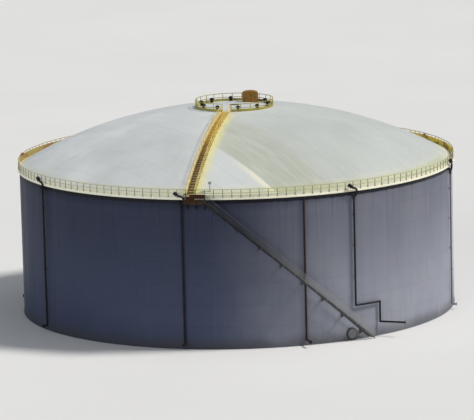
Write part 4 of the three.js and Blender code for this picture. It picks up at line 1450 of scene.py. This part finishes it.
FOAM_BEARINGS = (30.5, 75, 119, 166, 211, 260.5, 300.6, 346.1)  # degrees, line 1 to line 8
SUNLIT_LINE = 2  # the line whose pipe is painted grey, as painted sunlight
FOAM_STAND_OFF = 0.065
FOAM_PIPE_TOP = RIM - 0.42


class TANK_OT_pipework(bpy.types.Operator):
    """Make the foam lines with their drums, and the water riser"""

    bl_idname = "tank.pipework"
    bl_label = "Pipework"

    def execute(self, context):
        pipes = sizes(context, "pipes")
        radius = pipes.foam_pipe
        line = SHELL_RADIUS + FOAM_STAND_OFF + radius
        for number, degrees in enumerate(FOAM_BEARINGS, 1):
            bearing = radians(degrees)
            shape = Shape()
            run = self.stepped_run if number == 1 else self.straight_run
            run(shape, radius, bearing, line)
            for height in (7.3, 5.5, 3.7):
                self.clamp(shape, bearing, line, height, radius)
            self.head(shape, radius, pipes.drum, bearing, line)
            coat = "sunned_pipe_paint" if number == SUNLIT_LINE else "foam_paint"
            name = f"foam_line_{number}"
            shape.finished(name + "_pipe", coat, "dark_paint", [name])
        self.water_riser(pipes.riser)
        return {"FINISHED"}

    def flange(self, shape, point, axis, radius):
        """A ring with eight bolts through it."""
        profile = [(0, radius), (0, radius * 1.75), (0.02, radius * 1.75), (0.02, radius)]
        shape.lathe(point, axis, profile)
        axis = axis.normalized()
        for place in circle(point, square_to(axis), radius * 1.42, 8, 0.5):
            shape.lathe(place - axis * 0.006, axis, [(0, 0.008), (0.034, 0.008)], 6)

    def straight_run(self, shape, radius, bearing, line):
        """Straight down the shell, with a bend out at the foot."""
        low, bend, reach = 0.3, 0.09, 0.27
        path = [around(bearing, line + reach, low)]
        for a in (pi / 2 * k / 6 for k in range(7)):
            path.append(around(bearing, line + bend * (1 - sin(a)), low + bend * (1 - cos(a))))
        path.append(around(bearing, line, FOAM_PIPE_TOP))
        shape.tube(path, radius, 16)
        end = around(bearing, line + reach - 0.002, low)
        self.flange(shape, end, around(bearing, 1, 0), radius)
        self.flange(shape, around(bearing, line, 2.4), UP, radius)

    def stepped_run(self, shape, radius, bearing, line):
        """Down the shell, along it, down again, and level away from it."""
        aside = radians(38)
        jog, low = 2.02, 0.84
        corners = [around(bearing, line, jog), around(aside, line, jog), around(aside, line, low)]
        shape.tube([around(bearing, line, FOAM_PIPE_TOP), corners[0]], radius, 16)
        shape.tube(arc(bearing, aside, line, jog, 8), radius, 16)
        shape.tube(corners[1:], radius, 16)
        ball = radius * 1.06
        profile = [(ball * (1 - cos(a)), ball * sin(a)) for a in (pi * k / 10 for k in range(11))]
        for corner in corners:
            shape.lathe(corner - UP * ball, UP, profile, 16)
        heading = Vector((cos(radians(18)), -sin(radians(18)), 0))
        end = corners[2] + heading * 1.5
        shape.tube([corners[2], end], radius, 16)
        self.flange(shape, end - heading * 0.022, heading, radius)

    def clamp(self, shape, bearing, line, height, radius):
        """A bracket on the shell with a band round the pipe."""
        half, wide = 0.012, 0.03
        low, high = (-half, -line, height - wide), (half, -SHELL_RADIUS + 0.002, height + wide)
        shape.box(low, high, bearing)
        band = [(0, radius), (0, radius + 0.008), (wide, radius + 0.008), (wide, radius)]
        shape.lathe(around(bearing, line, height - wide / 2), UP, band, 16)

    def head(self, shape, radius, size, bearing, line):
        """An outlet through the shell, and a loop out round the curb to a leaning drum."""

        def at(aside, out, height):
            return around(bearing, line + out, RIM + height, aside)

        outlet = [(0, 0, -0.46), (-0.03, 0, -0.41), (-0.17, -0.012, -0.27), (-0.2, -0.03, -0.256)]
        outlet += [(-0.2, SHELL_RADIUS - line, -0.256)]
        shape.tube([at(*place) for place in outlet], radius * 1.36, 16)
        loop = [(0, 0, -0.47), (0.04, 0.016, -0.42), (0.12, 0.05, -0.33), (0.156, 0.058, -0.24)]
        loop += [(0.163, 0.065, -0.13), (0.15, 0.068, -0.04), (0.1, 0.07, 0.025)]
        loop += [(0.03, 0.071, 0.06), (-0.06, 0.074, 0.083), (-0.13, 0.078, 0.11)]
        shape.tube([at(*place) for place in loop], radius * 1.05, 12)
        foot, head = at(-0.085, 0.093, 0.1), at(-0.4, 0.093, 0.2975)
        long = (head - foot).length
        neck = long * 0.4
        narrow, wall, band = size * 0.62, size * 1.05, size * 1.15
        profile = [(0, 0.0), (0, narrow), (neck - 0.04, narrow), (neck, size), (neck + 0.012, band)]
        profile += [(neck + 0.03, band), (neck + 0.03, wall), (long - 0.05, wall)]
        profile += [(long - 0.05, band), (long - 0.03, band)]
        profile += [(long - 0.01, size * 0.6), (long, 0.0)]
        shape.lathe(foot, head - foot, profile)
        self.flange(shape, at(0, 0, -0.55), UP, radius)

    def water_riser(self, radius):
        """A pipe from under the curb to a flanged branch near the ground."""
        bearing, low = radians(16.8), 0.35
        stand_off = 0.015
        line = SHELL_RADIUS + stand_off + radius
        shape = Shape()
        levels = (CURB_FOOT - 0.002, low - radius)
        shape.tube([around(bearing, line, z) for z in levels], radius, 16)
        end = around(bearing, line + 0.75, low)
        shape.tube([around(bearing, line, low), end], radius * 0.98, 16)
        axis = around(bearing, 1, 0)
        self.flange(shape, end - axis * 0.022, axis, radius)
        for height in (7.65, 5.85, 4.05, 2.2):
            self.clamp(shape, bearing, line, height, radius)
        shape.finished("water_riser_pipe", "riser_paint", "red_brown_paint", ["water_riser"])


class TANK_OT_fittings(bpy.types.Operator):
    """Make the shell's manholes and nozzles with their bolts"""

    bl_idname = "tank.fittings"
    bl_label = "Manholes and Nozzles"

    def execute(self, context):
        self.fitting("shell_manhole_front", 29.4, 0.39, 0.2, 0.115, "shell_paint", 24)
        self.fitting("shell_manhole_back", 190, 0.39, 0.155, 0.115, "shell_paint", 24)
        self.fitting("product_nozzle_1", 100, 0.45, 0.15, 0.21, "bare_steel", 16)
        self.fitting("product_nozzle_2", 106, 0.45, 0.10, 0.21, "bare_steel", 12)
        return {"FINISHED"}

    def fitting(self, node, degrees, height, radius, reach, slot, bolts):
        """A flanged neck on a pad, open for a pipe or closed by a manhole's cover."""
        covered = "manhole" in node
        bearing = radians(degrees)
        axis = around(bearing, 1, 0)
        base = around(bearing, SHELL_RADIUS - 0.02, height)
        face = reach + 0.02
        rim = radius * (1.6 if covered else 1.68)
        neck, pad = radius * 1.02, radius * 1.75
        shape = Shape()
        shape.lathe(base, axis, [(0.018, neck), (0.018, pad), (0.026, pad), (0.03, neck)], 32)
        body = [(0, 0.0), (0, radius), (reach, radius), (reach, rim), (face, rim)]
        if covered:
            body += [(face, 0.0)]
            self.cover(node, base + axis * face, axis, rim, slot)
        else:
            body += [(face, radius * 0.9), (face - 0.1, radius * 0.88), (face - 0.1, 0.0)]
        shape.lathe(base, axis, body, 32)
        coat = "stringer_paint" if covered else "galvanised_steel"
        shape.finished(node + "_body", coat, slot, [node])
        heads = made_by(
            bolt_circle, node + "_bolts", "galvanised_steel",
            Count=bolts, Circle=radius * 1.4, Head=0.011, Thick=0.06,
            Face=SHELL_RADIUS + reach - 0.005, Height=height, Bearing=bearing,
        )
        finish_piece(heads, "galvanised_steel", smooth=30)

    def cover(self, node, base, axis, rim, slot):
        """A round cover with a grip."""
        shape = Shape()
        shape.lathe(base, axis, [(0, 0.0), (0, rim * 0.8), (0.014, rim * 0.78), (0.014, 0.0)], 32)
        side = axis.cross(UP) * 0.06
        grip = base + axis * 0.042
        rod = 0.006
        for end in (grip - side, grip + side):
            shape.tube([end - axis * 0.032, end], rod)
        shape.tube([grip - side, grip + side], rod)
        shape.finished(node + "_cover", "manhole_paint", slot)


class TANK_OT_stage(bpy.types.Operator):
    """Make the pale floor, the soft light and the camera"""

    bl_idname = "tank.stage"
    bl_label = "Studio Stage"

    def execute(self, context):
        reach = 1400.0
        mesh = bpy.data.meshes.new("studio_floor")
        corners = [(x * reach, y * reach, -0.002) for x, y in ((-1, -1), (1, -1), (1, 1), (-1, 1))]
        mesh.from_pydata(corners, [], [(0, 1, 2, 3)])
        mesh.materials.append(paint("studio_floor"))
        linked("studio_floor", mesh)
        self.light("key_light", 90, 50, 3.05, 12, (1.0, 0.97, 0.92))
        self.light("top_light", 0, 89, 0.6, 60, (0.93, 0.96, 1.0))
        self.light("fill_light", -40, 12, 1.0, 50, (1.0, 0.99, 0.94))
        world = bpy.data.worlds.new("studio")
        world.use_nodes = True
        sky = world.node_tree.nodes["Background"].inputs
        sky["Color"].default_value = (0.6, 0.74, 1.0, 1)
        sky["Strength"].default_value = 0.09
        context.scene.world = world
        context.scene.view_settings.view_transform = "Standard"
        self.camera(context.scene)
        return {"FINISHED"}

    def light(self, name, bearing, elevation, strength, spread, shade):
        """A soft light from far away, at a bearing and an elevation in degrees."""
        data = bpy.data.lights.new(name, "SUN")
        data.energy = strength
        data.angle = radians(spread)
        data.color = shade
        lamp = linked(name, data)
        source = around(radians(bearing), cos(radians(elevation)), sin(radians(elevation)))
        lamp.rotation_mode = "QUATERNION"
        lamp.rotation_quaternion = source.to_track_quat("Z", "Y")

    def camera(self, scene):
        """A far camera in front of the tank, which looks down at it by ten degrees."""
        distance = 200.0
        frame_width = 28.6
        elevation = radians(10.14)
        roll = radians(-1.43)
        target = Vector((0, 0, 5.7))
        data = bpy.data.cameras.new("front_camera")
        data.sensor_width = 36.0
        data.lens = data.sensor_width * distance / frame_width
        data.clip_end = 2500.0
        camera = linked("front_camera", data)
        back = around(0, cos(elevation), sin(elevation))
        camera.location = target + back * distance
        camera.rotation_mode = "QUATERNION"
        tilt = Matrix.Rotation(roll, 3, "Z").to_quaternion()
        camera.rotation_quaternion = back.to_track_quat("Z", "Y") @ tilt
        scene.camera = camera


OPERATORS = (
    TANK_OT_paints,
    TANK_OT_stage,
    TANK_OT_shell,
    TANK_OT_roof,
    TANK_OT_rim_rail,
    TANK_OT_crown,
    TANK_OT_stair,
    TANK_OT_landing,
    TANK_OT_walkway,
    TANK_OT_pipework,
    TANK_OT_fittings,
)

SETTINGS = {
    "tank_body": TankBodySizes,
    "tank_rails": RailSizes,
    "tank_stair": StairSizes,
    "tank_pipes": PipeSizes,
    "tank_paints": PaintColours,
}


class TANK_PT_panel(bpy.types.Panel):
    """The tank's sizes and colours, and its pieces in the order they are made"""

    bl_label = "Storage Tank"
    bl_space_type = "VIEW_3D"
    bl_region_type = "UI"
    bl_category = "Tank"

    def draw(self, context):
        for group, kind in SETTINGS.items():
            box = self.layout.box()
            for setting in kind.__annotations__:
                box.prop(getattr(context.scene, group), setting)
        for operator in OPERATORS:
            self.layout.operator(operator.bl_idname)


def register():
    for kind in (*SETTINGS.values(), *OPERATORS, TANK_PT_panel):
        bpy.utils.register_class(kind)
    for name, kind in SETTINGS.items():
        setattr(bpy.types.Scene, name, bpy.props.PointerProperty(type=kind))


def unregister():
    for name in SETTINGS:
        delattr(bpy.types.Scene, name)
    for kind in reversed((*SETTINGS.values(), *OPERATORS, TANK_PT_panel)):
        bpy.utils.unregister_class(kind)


def main():
    register()
    for operator in OPERATORS:
        group, name = operator.bl_idname.split(".")
        getattr(getattr(bpy.ops, group), name)()


if __name__ == "__main__":
    main()
